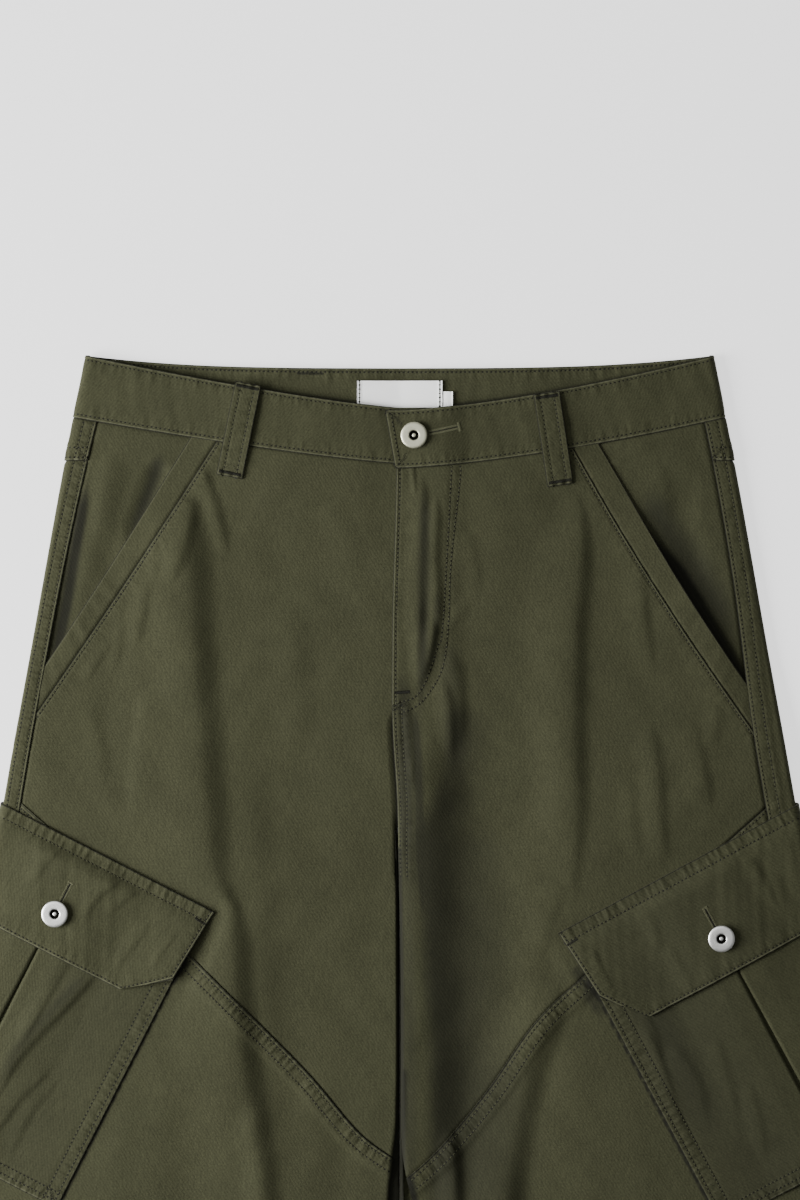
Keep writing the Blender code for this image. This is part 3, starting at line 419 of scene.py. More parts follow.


# A seam along one edge of a piece, or a line of stitching across it: how far in each row of stitches lies,
# how far the edge stands up (negative: it is tucked under another piece), how far in that reaches, whether
# the edge is a folded one, how pale its rim is (wear and a painted highlight), and how far the painted shade
# of a tucked edge reaches.
Seam = namedtuple("Seam", "path rows rise reach folded rim shade", defaults=((), 0.0, 1.0, True, 1.0, 1.0))
Sewing = namedtuple("Sewing", "height edge tuck weights")
PUCKER = 0.16  # height of the ripples that stitching draws up
ROW_DEPTH, ROW_WIDTH = 0.3, 0.9  # how far a row of stitches sinks into the cloth, and how wide
EDGE_ROUND, EDGE_DROP, RIM_DROP = 0.9, 0.2, 0.25  # how wide a folded edge is rounded off, and how far down
LEVEL_FELLED, LEVEL_PLAIN = 5.0, 12.0  # how far the cloth beside a felled seam or another takes to level out
SEAM_REACH, FAR_OFF = 24.0, 60.0  # how far a seam reaches, and the distance given to spots beyond that


def tucked(path, reach=4.0, depth=1.3, shade=1.0):
    """An edge that runs in under another piece and sinks there, with painted shade on the cloth beside it."""
    return Seam(path, (), -depth, reach, False, 0.0, shade)


def shaded(path, shade, reach=4.0):
    """A line of painted shade, where little light gets to and the cloth hardly sinks."""
    return tucked(path, reach, 0.01, shade)


def along_seams(seams, spot):
    """What the seams do at each spot: the height added, the place along the nearest folded edge and in from
    it, how far off a tucked edge is (for its painted shade), and how pale the rim (wear and a painted
    highlight) and how puckered the seam is there."""
    height, weights = np.zeros(len(spot)), np.zeros(len(spot), complex)
    edge, tuck = np.full(len(spot), FAR_OFF * (1+1j)), np.full(len(spot), FAR_OFF)
    for seed, seam in enumerate(seams):
        felled = len(seam.rows) > 1
        near = near_line(seam.path, spot, SEAM_REACH)
        along, inside = beside(seam.path, spot[near])
        inside = np.abs(inside)
        added = np.zeros(len(inside))
        if seam.rise < 0:
            added += seam.rise * (1 - ease(inside / seam.reach))
            tuck[near] = np.minimum(tuck[near], inside / seam.shade)
        else:
            level = LEVEL_FELLED if felled else LEVEL_PLAIN
            added += seam.rise * (1 - ease((inside - seam.reach) / level))
        if seam.folded:
            added -= (EDGE_DROP + RIM_DROP * seam.rim) * np.clip(1 - inside / EDGE_ROUND, 0, 1) ** 2
            closer = inside < edge[near].imag
            edge[near] = np.where(closer, along + 1j * inside, edge[near])
            puckered = 1.0 if felled else np.clip(sum(seam.rows) / 6, 0, 0.85)
            weights[near] = np.where(closer, seam.rim + 1j * puckered, weights[near])
        if seam.rows:
            beside_rows = np.exp(-((inside / (max(seam.rows) + 5)) ** 2))
            added += PUCKER * ripple(along, seed + 5 * len(seams)) * beside_rows
            for row in seam.rows:
                added -= ROW_DEPTH * np.exp(-(((inside - row) / ROW_WIDTH) ** 2))
        height[near] += added
    return Sewing(height, edge, tuck, weights)


def graded(t, fine=0.72):
    """0 to 1, with finer steps towards both ends."""
    return t - fine * np.sin(2 * math.pi * t) / (2 * math.pi)


def patch(a, b, top, bottom, start, end):
    """Spots inside four edges: top and bottom run with a, start and end run with b."""
    along = mix(top(a), bottom(a), b) + mix(start(b), end(b), a)
    zero, one = np.zeros(1), np.ones(1)
    return along - mix(mix(top(zero), top(one), a), mix(bottom(zero), bottom(one), a), b)


def linear(hex_colour):
    """An sRGB hex colour as linear RGBA."""
    channels = [int(hex_colour[i:i + 2], 16) / 255 for i in (1, 3, 5)]
    return (*[c / 12.92 if c <= 0.04045 else ((c + 0.055) / 1.055) ** 2.4 for c in channels], 1)


def fill(tree, node, inputs):
    """Fills a node's inputs: another node's output is linked (its first, for a node), a value is set."""
    for key, value in inputs.items():
        if isinstance(value, bpy.types.Node):
            value = value.outputs[0]
        if isinstance(value, bpy.types.NodeSocket):
            tree.links.new(value, node.inputs[key])
        else:
            node.inputs[key].default_value = value


def add_node(tree, kind, inputs, **settings):
    """Adds a shader node with its settings and inputs."""
    node = tree.nodes.new(f"ShaderNode{kind}")
    for key, value in settings.items():
        setattr(node, key, value)
    fill(tree, node, inputs)
    return node


def new_material(name):
    """A material with an empty tree but for its shader, which is returned with it."""
    made = bpy.data.materials.new(name)
    made.use_nodes = True
    return made, made.node_tree, made.node_tree.nodes["Principled BSDF"]


# Cotton twill, garment-dyed and washed: matt, with a fine steep rib and a slightly uneven colour. A folded
# edge has a paler rim, partly where the dye has worn and partly a painted highlight where the fold catches
# the light, with a thin line of painted shade at the very edge. Deep shade is painted where the cloth runs
# in under a seam or lies in a hollow. The real rib repeats every 0.7 mm; it is drawn at 1.9 mm so it shows.
RIB_PITCH = 1.9
RIB_ANGLE = math.radians(-32)
TWILL_DARK, TWILL_LIGHT, TWILL_WEAR_AND_HIGHLIGHT, TWILL_PAINTED_SHADE = "#272816", "#383925", "#585944", "#0B0B05"
YARN, CLOUD = 1.2, 38.0  # the grain of the yarn and of the wash's clouds
STREAK, RIPPLES = (1.4, 9.0), (4.0, 19.0)  # width and length of a streak of fibres, and of a ripple at a seam
CLOTH_LAYERS = ("cloth", "seam", "tuck", "weights")


# worn is the colour of a folded edge's paler rim, partly wear and partly a painted highlight; deep is the
# colour of painted shade.
def make_twill(name, dark, light, worn, deep):
    made, tree, shader = new_material(name)
    flat, seam, tuck, weights = (add_node(tree, "UVMap", {}, uv_map=layer) for layer in CLOTH_LAYERS)
    yarn = add_node(tree, "TexNoise", {"Vector": flat, "Scale": 1 / (YARN * MM), "Detail": 2.0})
    wash = add_node(tree, "TexNoise", {"Vector": flat, "Scale": 1 / (CLOUD * MM), "Detail": 5.0})
    streaks = add_node(tree, "Mapping", {
        "Vector": flat, "Scale": (1 / (STREAK[0] * MM), 1 / (STREAK[1] * MM), 1),
    })
    slub = add_node(tree, "TexNoise", {"Vector": streaks, "Scale": 1.0, "Detail": 3.0})
    turns = 2 * math.pi / (RIB_PITCH * MM)
    direction = (turns * math.cos(RIB_ANGLE), turns * math.sin(RIB_ANGLE), 0)
    phase = add_node(tree, "VectorMath", {0: flat, 1: direction}, operation="DOT_PRODUCT").outputs["Value"]
    uneven = add_node(tree, "Math", {0: slub, 1: 6.0, 2: phase}, operation="MULTIPLY_ADD")
    rib = add_node(tree, "Math", {0: uneven}, operation="SINE")

    # Colour: the wash's clouds, the yarn's grain and the rib, then the worn rims with their painted highlight,
    # and the painted shade at edges and in hollows.
    clouds = add_node(tree, "MapRange", {
        "Value": wash, "From Min": 0.3, "From Max": 0.7, "To Min": 0.38, "To Max": 0.62,
    })
    grain = add_node(tree, "Math", {0: yarn, 1: 1.8, 2: -0.9}, operation="MULTIPLY_ADD")
    fibres = add_node(tree, "Math", {0: slub, 1: 1.1, 2: -0.55}, operation="MULTIPLY_ADD")
    ribbed = add_node(tree, "Math", {0: rib, 1: 0.12, 2: clouds}, operation="MULTIPLY_ADD")
    both = add_node(tree, "Math", {0: grain, 1: fibres})
    share = add_node(tree, "Math", {0: ribbed, 1: both}, use_clamp=True)
    colour = add_node(tree, "Mix", {0: share, 6: linear(dark), 7: linear(light)}, data_type="RGBA").outputs[2]
    from_edge = add_node(tree, "SeparateXYZ", {0: seam}).outputs["Y"]
    hidden = add_node(tree, "SeparateXYZ", {0: tuck})
    weight = add_node(tree, "SeparateXYZ", {0: weights})
    rim = add_node(tree, "Math", {0: weight, 1: 0.4}, operation="MULTIPLY")
    # The paler rim of a folded edge (wear and a painted highlight), painted shade at the very edge, and
    # painted shade beside a tucked edge.
    for distance, near, far, most, tint in (
        (from_edge, 0.8, 1.6, rim, worn),
        (from_edge, 0.2, 0.75, 0.9, deep),
        (hidden, 1.0, 2.7, 0.85, deep),
    ):
        reach = add_node(tree, "MapRange", {
            "Value": distance, "From Min": near * MM, "From Max": far * MM, "To Min": most, "To Max": 0.0,
        }, interpolation_type="SMOOTHSTEP")
        colour = add_node(tree, "Mix", {0: reach, 6: colour, 7: linear(tint)}, data_type="RGBA").outputs[2]
    # Painted shade in the hollows, from the tuck map's second channel.
    dimmed = add_node(tree, "Mix", {0: hidden.outputs["Y"], 6: colour, 7: linear(deep)}, data_type="RGBA")

    # Relief: rib and yarn, and the short ripples that the stitching draws up across a seam.
    beside_seam = add_node(tree, "MapRange", {
        "Value": from_edge, "From Min": 5 * MM, "From Max": 12 * MM,
        "To Min": weight.outputs["Y"], "To Max": 0.0,
    }, interpolation_type="SMOOTHSTEP")
    stretch = add_node(tree, "Mapping", {
        "Vector": seam, "Scale": (1 / (RIPPLES[0] * MM), 1 / (RIPPLES[1] * MM), 1),
    })
    pucker = add_node(tree, "TexNoise", {"Vector": stretch, "Scale": 1.0, "Detail": 0.6})
    centred = add_node(tree, "Math", {0: pucker, 1: 0.5}, operation="SUBTRACT")
    pulled = add_node(tree, "Math", {0: centred, 1: beside_seam}, operation="MULTIPLY")
    rib_height = add_node(tree, "Math", {0: rib, 1: 0.02}, operation="MULTIPLY")
    with_yarn = add_node(tree, "Math", {0: yarn, 1: 0.09, 2: rib_height}, operation="MULTIPLY_ADD")
    height = add_node(tree, "Math", {0: pulled, 1: 1.9, 2: with_yarn}, operation="MULTIPLY_ADD")
    bump = add_node(tree, "Bump", {"Height": height, "Strength": 1.0, "Distance": MM})
    fill(tree, shader, {
        "Base Color": dimmed.outputs[2], "Normal": bump, "Roughness": 0.88, "Specular IOR Level": 0.25,
        "Sheen Weight": 0.1, "Sheen Roughness": 0.45, "Sheen Tint": linear("#8C8C6E"),
    })
    return made


TWILL = make_twill("washed olive cotton twill", TWILL_DARK, TWILL_LIGHT, TWILL_WEAR_AND_HIGHLIGHT, TWILL_PAINTED_SHADE)


def as_mesh(bm, name):
    mesh = bpy.data.meshes.new(name)
    bm.to_mesh(mesh)
    bm.free()
    return mesh


SHARP = math.radians(50)  # edges that turn more than this stay sharp


def finish_piece(mesh, name, material, nodes=()):
    """Makes a mesh a piece: it rides on the trousers and stands for its nodes."""
    piece = bpy.data.objects.new(name, mesh)
    bpy.context.scene.collection.objects.link(piece)
    mesh.materials.append(material)
    mesh.shade_smooth()
    mesh.set_sharp_from_angle(angle=SHARP)
    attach(piece, "root")
    if nodes:
        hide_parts(*nodes)
    return piece


# How a piece is laid: its spots on the trousers, how far out from their skin, its own spots as it lies flat
# if those are others, and the leg that each spot is on if the piece lies over both.
Laid = namedtuple("Laid", "spot out flat side", defaults=(None, None))
Surface = namedtuple("Surface", "tree faces flat world")
Sewn = namedtuple("Sewn", "surface seams centre")
sewn = {}  # what the thread is sewn to, by the piece's name
STRIP_SHARE, SLANTED_ENDS = 0.32, 1.05  # a slanting strip fills less than this of its box; what its ends add
TAPE_WIDTH = 10.0


def surface_of(mesh, flat, world, chosen):
    """The chosen face of a cloth, with a tree that finds spots on it as it lies flat."""
    corners = np.empty(3 * len(mesh.loop_triangles), np.int32)
    mesh.loop_triangles.foreach_get("vertices", corners)
    faces = corners.reshape(-1, 3)
    faces = faces[chosen[faces].all(axis=1)]
    points = np.stack([flat.real, flat.imag, np.zeros(len(flat))], axis=1)
    return Surface(BVHTree.FromPolygons(points.tolist(), faces.tolist()), faces, points, world)


def cloth(name, side, columns, rows, place, seams=(), grade=(0.72, 0.72), material=TWILL,
          sew_inside=(), hollows=None, most_hollow=0.8):
    """Makes a piece of cloth as a closed shell. place(a, b, c) lays it: a and b run over it, and c is 0 on
    its inner face and 1 on its outer one. Its grid is finer towards its edges, by grade. sew_inside are
    seams that show on the inner face alone."""
    bm = bmesh.new()
    bmesh.ops.create_grid(bm, x_segments=columns, y_segments=rows, size=0.5)
    bmesh.ops.translate(bm, verts=bm.verts[:], vec=(0.5, 0.5, 0))
    grown = bmesh.ops.extrude_face_region(bm, geom=bm.faces[:])
    top = [part for part in grown["geom"] if isinstance(part, bmesh.types.BMVert)]
    bmesh.ops.translate(bm, verts=top, vec=(0, 0, 1))
    bmesh.ops.recalc_face_normals(bm, faces=bm.faces[:])
    mesh = as_mesh(bm, name)

    grid = np.empty(len(mesh.vertices) * 3, np.float32)
    mesh.vertices.foreach_get("co", grid)
    a, b, outer = grid.reshape(-1, 3).astype(float).T
    laid = place(graded(np.clip(a, 0, 1), grade[0]), graded(np.clip(b, 0, 1), grade[1]), outer)
    flat = laid.spot if laid.flat is None else laid.flat
    sewing = along_seams(seams, flat)
    if sew_inside:
        inside = outer < 0.5
        for values, hidden in zip(sewing, along_seams([*seams, *sew_inside], flat[inside])):
            values[inside] = hidden
    world = on_skin(side if laid.side is None else laid.side, laid.spot, laid.out + sewing.height)
    mesh.vertices.foreach_set("co", world.astype(np.float32).ravel())
    mesh.calc_loop_triangles()
    corners = np.empty(3 * len(mesh.loop_triangles), np.int32)
    mesh.loop_triangles.foreach_get("vertices", corners)
    if np.linalg.det(world[corners.reshape(-1, 3)]).sum() < 0:
        mesh.flip_normals()
        mesh.calc_loop_triangles()
    loop_vertex = np.empty(len(mesh.loops), np.int32)
    mesh.loops.foreach_get("vertex_index", loop_vertex)
    turned = -flat.conj() if side == LEFT else flat  # so that the twill runs one way on both legs
    # painted shade in the piece's hollows, on its outer face alone
    dim = np.minimum(folds(hollows or {}, side, flat), most_hollow) * (outer > 0.5)
    layers = {"cloth": turned * MM, "seam": sewing.edge * MM, "tuck": sewing.tuck * MM + 1j * dim,
              "weights": sewing.weights}
    for layer, values in layers.items():
        pairs = np.stack([values.real, values.imag], axis=1)[loop_vertex]
        mesh.uv_layers.new(name=layer).data.foreach_set("uv", pairs.astype(np.float32).ravel())

    outer_face = surface_of(mesh, flat, world, outer > 0.5)
    sewn[name] = Sewn(outer_face, seams, flat.mean())
    if sew_inside:
        sewn[f"{name}_inside"] = Sewn(surface_of(mesh, flat, world, outer < 0.5), sew_inside, flat.mean())
    piece = finish_piece(mesh, f"{name}_cloth", material, [name])
    corner = flat[outer_face.faces]
    sides = corner[:, 1] - corner[:, 0], corner[:, 2] - corner[:, 0]
    area = np.abs((sides[0].conj() * sides[1]).imag).sum() / 2
    wide, long = np.ptp(flat.real), np.ptp(flat.imag)
    if area < STRIP_SHARE * wide * long:  # a slanting strip is measured along its own length
        long = np.hypot(wide, long)
        wide = SLANTED_ENDS * area / long
    wide = max(wide, 2 * area / long) if wide < TAPE_WIDTH else wide  # a narrow tape is folded double
    return piece


def hem_wall(down):
    """The thickness of a leg's cloth, more where the hem is turned up."""
    return CLOTH + HEM_EXTRA * ease((down - LENGTH + HEM_TURN) / HEM_STEP)


def between(a, shares, places):
    """Runs through places, each a number for every a, while a runs through shares."""
    shares = np.array(shares, float)
    table = np.stack([np.broadcast_to(place, a.shape) for place in places])
    i = np.clip(np.searchsorted(shares, a, side="right") - 1, 0, len(shares) - 2)
    pick = np.arange(len(a))
    return mix(table[i, pick], table[i + 1, pick], (a - shares[i]) / (shares[i + 1] - shares[i]))


LAP_SHARE, TURN_SHARE, INNER_SHARE = 0.16, 0.32, 0.89  # shares of a back piece's columns up to each fold


def back_end(side, down):
    """Across, where the back ends at the centre line or the inner leg."""
    return 2 * side_turn(down) - inner_turn(side, down, True)


def over_the_side(side, down, a):
    """Across, from the side seam on the front over the side fold to the centre back or inner leg."""
    turn, arc = side_turn(down), 1.1 * quarter(FOLD_RADIUS, 1)
    inner = back_end(side, down)
    stations = (side_seam(side, down), turn - arc, turn + arc, inner - 2 * arc, inner)
    return between(a, (0, LAP_SHARE, TURN_SHARE, INNER_SHARE, 1), stations)


def along_side_seam(side, top, bottom):
    down = np.linspace(top, bottom, 60)
    return side_seam(side, down) + 1j * down


FELLED = (2.0, 8.3)  # rows of stitching on a felled seam
HEM_ROW = 25.0


def yoke_seam(a):
    """Down, the seam between yoke and back leg: level on the front, and lower towards the centre back."""
    return YOKE_DOWN + YOKE_POINT * np.clip((a - TURN_SHARE) / (1 - TURN_SHARE), 0, 1)


def yoke_edge(side, a):
    return over_the_side(side, yoke_seam(a), a) + 1j * yoke_seam(a)


BackCrease = namedtuple("BackCrease", "x down length width depth")
BACK_CREASES = (
    BackCrease(70, 330, 150, 12, 1.1),
    BackCrease(150, 380, 210, 14, 1.3),
    BackCrease(110, 640, 240, 15, 1.2),
    BackCrease(200, 720, 260, 14, 1.1),
    BackCrease(60, 880, 180, 13, 0.9),
    BackCrease(235, 560, 160, 11, 0.9),
    BackCrease(40, 190, 110, 10, 0.8),
    BackCrease(130, 170, 140, 11, 0.8),
)
BACK_CLEAR = 20.0  # they fade out over this distance towards the side fold and the centre back


def back_relief(side, across, down):
    """Shallow creases pressed into the underside, uneven in length and lean."""
    height = 0.0
    for crease in BACK_CREASES:
        along = down - crease.down
        line = crease.x + 9 * side * np.sin(along / crease.length * 2 + crease.x)
        off = ((across - line) / crease.width) ** 2 + (along / (crease.length / 2)) ** 2
        height = height + crease.depth * np.exp(-off)
    return height


Inseam = namedtuple("Inseam", "down inset")
INSEAM = (
    Inseam(494, 0.0),
    Inseam(519, 3.3),
    Inseam(545, 9.4),
    Inseam(590, 12.0),
    Inseam(LENGTH, 8.0),
)
inseam_line = column(INSEAM, "down", "inset")


def inseam_inset(side, down):
    """How far the inner leg's seam lies on the front of the fold: only the right leg's comes round to it."""
    return inseam_line(down) * (side == RIGHT)


def centre_back(side, down):
    return back_end(side, down) + inseam_inset(side, down)


for side in (LEFT, RIGHT):
    def lay_back(a, b, c):
        down = mix(yoke_seam(a) - TUCK, LENGTH, b)
        across = over_the_side(side, down, a)
        x = 2 * side_turn(down) - across
        on_back = ease((across - side_turn(down) - 8) / BACK_CLEAR) * ease((x - 12) / BACK_CLEAR)
        out = (c - 1) * hem_wall(down) - back_relief(side, x, down) * on_back
        return Laid(across + 1j * down, out)

    hem = np.linspace(side_seam(side, LENGTH), centre_back(side, LENGTH), 60) + 1j * LENGTH
    rise = np.linspace(yoke_seam(1), CROTCH_DOWN - 4, 40)
    gap = np.linspace(CROTCH_DOWN - 4, LIP_END, 60)
    cloth(f"back_{NAMES[side]}", side, 96, 170, lay_back, [
        Seam(along_side_seam(side, YOKE_DOWN - TUCK, LENGTH), FELLED, 0.6, 9.0, rim=0.7),
        Seam(hem, (HEM_ROW,)),
        Seam(centre_back(side, rise) + 1j * rise, FELLED if side == LEFT else ()),
        tucked(yoke_edge(side, np.linspace(0, 1, 60)) - 1j * TUCK),
        # painted shade down the inner fold, where the legs meet
        shaded(back_end(side, gap) + 1j * gap, 1.6 if side == RIGHT else 4.0),
    ], grade=(0.0, 0.3))

# ---------------------------------------------------------------------------------------------------------
# Yokes
# Two shaped pieces of twill between the waistband and the back legs. They lap over the back legs with a
# felled seam, and their ends show on the front between the side seam and the silhouette.

BAND_HEIGHT = 40.0
FrontDip = namedtuple("FrontDip", "top bottom power")
FRONT_DIP = {LEFT: FrontDip(34.0, 30.0, 1.25), RIGHT: FrontDip(35.5, 33.0, 1.45)}
BACK_DIP, BACK_DIP_POWER = 8.4, 3.0
YOKE_PROUD = 0.25


def dip_of(side, field):
    """A value of the front's dip, on one leg or for the leg that each spot is on."""
    return np.where(side == LEFT, getattr(FRONT_DIP[LEFT], field), getattr(FRONT_DIP[RIGHT], field))


def dip(share, depth, power):
    """How far an edge dips towards the centre, at this share of the way out to the side."""
    return depth * (1 - np.clip(share, 0, 1) ** power)


def waist_seam(side, across):
    """The seam between waistband and front, lowest at the centre."""
    return BAND_HEIGHT + dip(across / side_turn(BAND_HEIGHT), dip_of(side, "bottom"), dip_of(side, "power"))


def band_top(side, across):
    """The waistband's top edge, over the front and on round the side fold to the centre back."""
    turn = side_turn(0)
    front = dip(across / turn, dip_of(side, "top"), dip_of(side, "power"))
    back = dip((2 * turn - across) / turn, BACK_DIP, BACK_DIP_POWER)
    return np.where(across < turn, front, back)


def band_bottom(side, across):
    turn = side_turn(BAND_HEIGHT)
    back = BAND_HEIGHT + dip((2 * turn - across) / turn, BACK_DIP, BACK_DIP_POWER)
    return np.where(across < turn, waist_seam(side, across), back)


def yoke_top(side, a):
    down = BAND_HEIGHT
    for _ in range(4):  # the band's edge depends on across, which depends on down
        down = band_bottom(side, over_the_side(side, down, a))
    return down


for side in (LEFT, RIGHT):
    def lay_yoke(a, b, c):
        down = mix(yoke_top(side, a) - TUCK, yoke_seam(a), b)
        return Laid(over_the_side(side, down, a) + 1j * down, (c - 1) * CLOTH + YOKE_PROUD)

    run = np.linspace(0, 1, 80)
    upper = over_the_side(side, yoke_top(side, run), run) + 1j * (yoke_top(side, run) - TUCK)
    cloth(f"yoke_{NAMES[side]}", side, 110, 20, lay_yoke, [
        Seam(yoke_edge(side, run), FELLED, 0.5, 9.0),
        Seam(along_side_seam(side, BAND_HEIGHT, YOKE_DOWN), FELLED, 0.5, 9.0, rim=0.7),
        tucked(upper, 3.0),
    ], grade=(0.0, 0.5))

# ---------------------------------------------------------------------------------------------------------
# Upper fronts
# The front from the waistband to the slanting knee seam, cut away at the hand pocket. The right one laps over
# the left one's extension at the fly, where a curved double row holds it.

FLY_END, FLY_UNDERLAP, FLY_NARROWING = 238.0, 26.0, 30.0
FLY_RISE, FLY_EDGE, FLY_EDGE_FALL = 1.3, 46.0, 18.0
RISE_START, RISE_PAST = 12.0, 6.0  # the rise's seam: from above the fly's end to past where the legs part
FLY_ROW, RISE_ROWS, HAND_ROW = 2.5, (2.2, 6.4), 1.9  # stitching by the fly's edge, rise and hand pocket
HandPocket = namedtuple("HandPocket", "opening_top opening_end band_top band_end hollow")
HAND_POCKET = {
    LEFT: HandPocket(133.8, 203.0, 117.0, 234.5, 1.2),
    RIGHT: HandPocket(127.6, 214.5, 111.0, 245.0, 3.3),
}
BAND_CORNER = 0.68  # the hand pocket's band ends at this share of the upper front's outer edge
OPENING_GAPE = {LEFT: 1.0, RIGHT: 2.6}
SeamPoint = namedtuple("SeamPoint", "across left right")
DIAGONAL_SEAM = (
    SeamPoint(-3, 523, 538),
    SeamPoint(24, 504, 514),
    SeamPoint(57, 466, 475),
    SeamPoint(87, 435, 431),
    SeamPoint(118, 404, 401),
    SeamPoint(180, 346, 342),
    SeamPoint(250, 284, 279),
)
SIDE_SEAM_ACROSS = 240.0  # about where the slanting seam meets the side seam
diagonal_down = {side: column(DIAGONAL_SEAM, "across", name) for side, name in NAMES.items()}


def leg_inner(side, down):
    """A front panel's edge along the inner leg."""
    return inner_turn(side, down) + inseam_inset(side, down)


def diagonal_spot(side, a):
    """On the seam between upper and lower front, from the inner leg (a = 0) to the side seam."""
    inner = leg_inner(side, diagonal_down[side](0))
    outer = side_seam(side, diagonal_down[side](SIDE_SEAM_ACROSS)) + TUCK
    across = mix(inner, outer, a)
    return across + 1j * diagonal_down[side](across)


def under_side_seam(side, down):
    """Where a piece of the front ends, under the felled edge of yoke and back leg."""
    return side_seam(side, down) + TUCK + 1j * down


def under_band(side, across):
    """Where a piece of the front ends at the top, under the waistband."""
    return across + 1j * (waist_seam(side, across) - TUCK)


def opening_line(side, b):
    """The folded edge of the hand pocket's band, slightly hollow."""
    hand = HAND_POCKET[side]
    start = under_band(side, hand.opening_top)
    bend = hand.hollow * np.sin(np.pi * np.clip(b, 0, 1) ** 1.3)
    return mix(start, under_side_seam(side, hand.opening_end), b) - bend


def band_line(side, b):
    """The seam between the hand pocket's band and the front."""
    hand = HAND_POCKET[side]
    start = under_band(side, hand.band_top)
    bend = 1.25 * hand.hollow * np.sin(np.pi * np.clip(b, 0, 1))
    return mix(start, under_side_seam(side, hand.band_end), b) - bend


FLY_OUTER = (39.2+72j, 39+81j, 33.2+134j, 31.6+173j, 28+201j, 18.4+219j, 10+227j, 0.3+231j)
FLY_INNER = (33.2+72j, 33.2+81j, 28+173j, 24.8+188j, 16.8+210.6j, 10+220.6j, 0.3+223.8j)

for side in (LEFT, RIGHT):
    hand = HAND_POCKET[side]
    top_middle, low_middle = waist_seam(side, 0) - TUCK, diagonal_spot(side, 0).imag + TUCK

    def inner_line(down):
        if side == RIGHT:
            return leg_inner(side, down) + 1j * down
        under_fly = mix(TUCK * (1 - parted(down)), FLY_UNDERLAP, ease((FLY_END - down) / FLY_NARROWING))
        return leg_inner(side, down) - under_fly + 1j * down

    def start(b):
        return inner_line(mix(top_middle, low_middle, b))

    def end(b):
        upper = band_line(side, b / BAND_CORNER)
        down = mix(hand.band_end, diagonal_spot(side, 1).imag + TUCK, (b - BAND_CORNER) / (1 - BAND_CORNER))
        return np.where(b < BAND_CORNER, upper, under_side_seam(side, down))

    def top(a):
        return under_band(side, mix(start(np.zeros(1)).real, hand.band_top, a))

    def bottom(a):
        return diagonal_spot(side, a) + 1j * TUCK

    def lay_upper(a, b, c):
        spot = patch(a, b, top, bottom, start, end)
        beside_fly = ease((FLY_EDGE - spot.real) / FLY_EDGE_FALL)
        above_end = ease((FLY_END + FLY_NARROWING - spot.imag) / FLY_NARROWING)
        raised = FLY_RISE * beside_fly * above_end * (side == RIGHT)
        gape = OPENING_GAPE[side] * a ** 7 * np.sin(np.pi * np.clip(b / BAND_CORNER, 0, 1) ** 1.9)
        return Laid(spot, raised + gape + (c - 1) * CLOTH)

    run = np.linspace(0, 1, 60)
    outer_down = np.linspace(hand.band_end, diagonal_spot(side, 1).imag + TUCK, 30)
    rise_down = np.linspace(FLY_END - RISE_START, PART_END + RISE_PAST, 40)
    seams = [
        tucked(top(run), 3.0),
        tucked(bottom(run), 3.0, shade=0.85),
        Seam(band_line(side, run), (HAND_ROW,), 0.25, 2.0, rim=0.5),
        tucked(under_side_seam(side, outer_down)),
    ]
    gap = np.linspace(PART_END - 10, low_middle, 60)
    # Painted shade down the inner fold, where the legs meet; on the right leg more of it near the bottom.
    seams.append(shaded(inner_turn(side, gap) + 1j * gap, 1.1 if side == LEFT else 1.7))
    if side == LEFT:
        seams.append(tucked(inner_line(rise_down), 5.0))
    else:
        fly_down = np.linspace(top_middle, FLY_END - RISE_START, 60)
        seams += [
            shaded(inner_turn(side, gap[40:]) + 1j * gap[40:], 2.8),
            Seam(inner_line(fly_down), (FLY_ROW,), 0.2, 1.5),
            Seam(inner_line(rise_down), RISE_ROWS, 0.25, 7.2),
            Seam(line_through(FLY_OUTER, 80), (0.0,), folded=False),
            Seam(line_through(FLY_INNER, 80), (0.0,), folded=False),
        ]
    cloth(f"front_upper_{NAMES[side]}", side, 144, 150, lay_upper, seams, grade=(0.6, 0.5), hollows=HOLLOWS,
          most_hollow=MOST_HOLLOW)

# ---------------------------------------------------------------------------------------------------------
# Lower fronts
# The front from the slanting seam to the hem. It laps over the upper front with a felled seam, and is turned
# up twice at the hem like the back leg.

SLANT_ROWS = (2.1, 8.6)

for side in (LEFT, RIGHT):
    top_left, top_right = diagonal_spot(side, 0).imag, diagonal_spot(side, 1).imag

    def top(a):
        return diagonal_spot(side, a)

    def bottom(a):
        return mix(leg_inner(side, LENGTH), side_seam(side, LENGTH) + TUCK, a) + 1j * LENGTH

    def start(b):
        down = mix(top_left, LENGTH, b)
        return leg_inner(side, down) + 1j * down

    def end(b):
        return under_side_seam(side, mix(top_right, LENGTH, b))

    def lay_lower(a, b, c):
        spot = patch(a, b ** 1.25, top, bottom, start, end)  # the rows lie closer near the slanting seam
        return Laid(spot, (c - 1) * hem_wall(spot.imag))

    run = np.linspace(0, 1, 80)
    pocket_edge = POCKET_INSET + 1j * np.linspace(40, POCKET_BOTTOM, 30)
    flap_corner = np.linspace(3, FLAP_TAPER + 3, 20) + 1j * np.linspace(38, 56, 20)
    cloth(f"front_lower_{NAMES[side]}", side, 120, 150, lay_lower, [
        Seam(top(run), SLANT_ROWS, 0.9, 9.4, rim=0.4),
        Seam(bottom(run), (HEM_ROW,)),
        tucked(end(run)),
        # painted shade down the inner fold, beside the cargo pocket's inner edge and by its flap's lower inner
        # corner
        shaded(start(np.linspace(0, 0.1, 20)), 1.8 if side == LEFT else 2.2),
        shaded(from_frame(side, pocket_edge), 0.9, 1.0),
        shaded(from_frame(side, flap_corner), 2.0, 1.0),
    ], grade=(0.5, 0.2), hollows=HOLLOWS, most_hollow=MOST_HOLLOW)

# ---------------------------------------------------------------------------------------------------------
# Hand pockets
# A band of twill runs along each slanted opening and is sewn under the front. Behind the opening the hip
# facing shows, sewn to the waistband and the side seam and sagging away from the mouth.

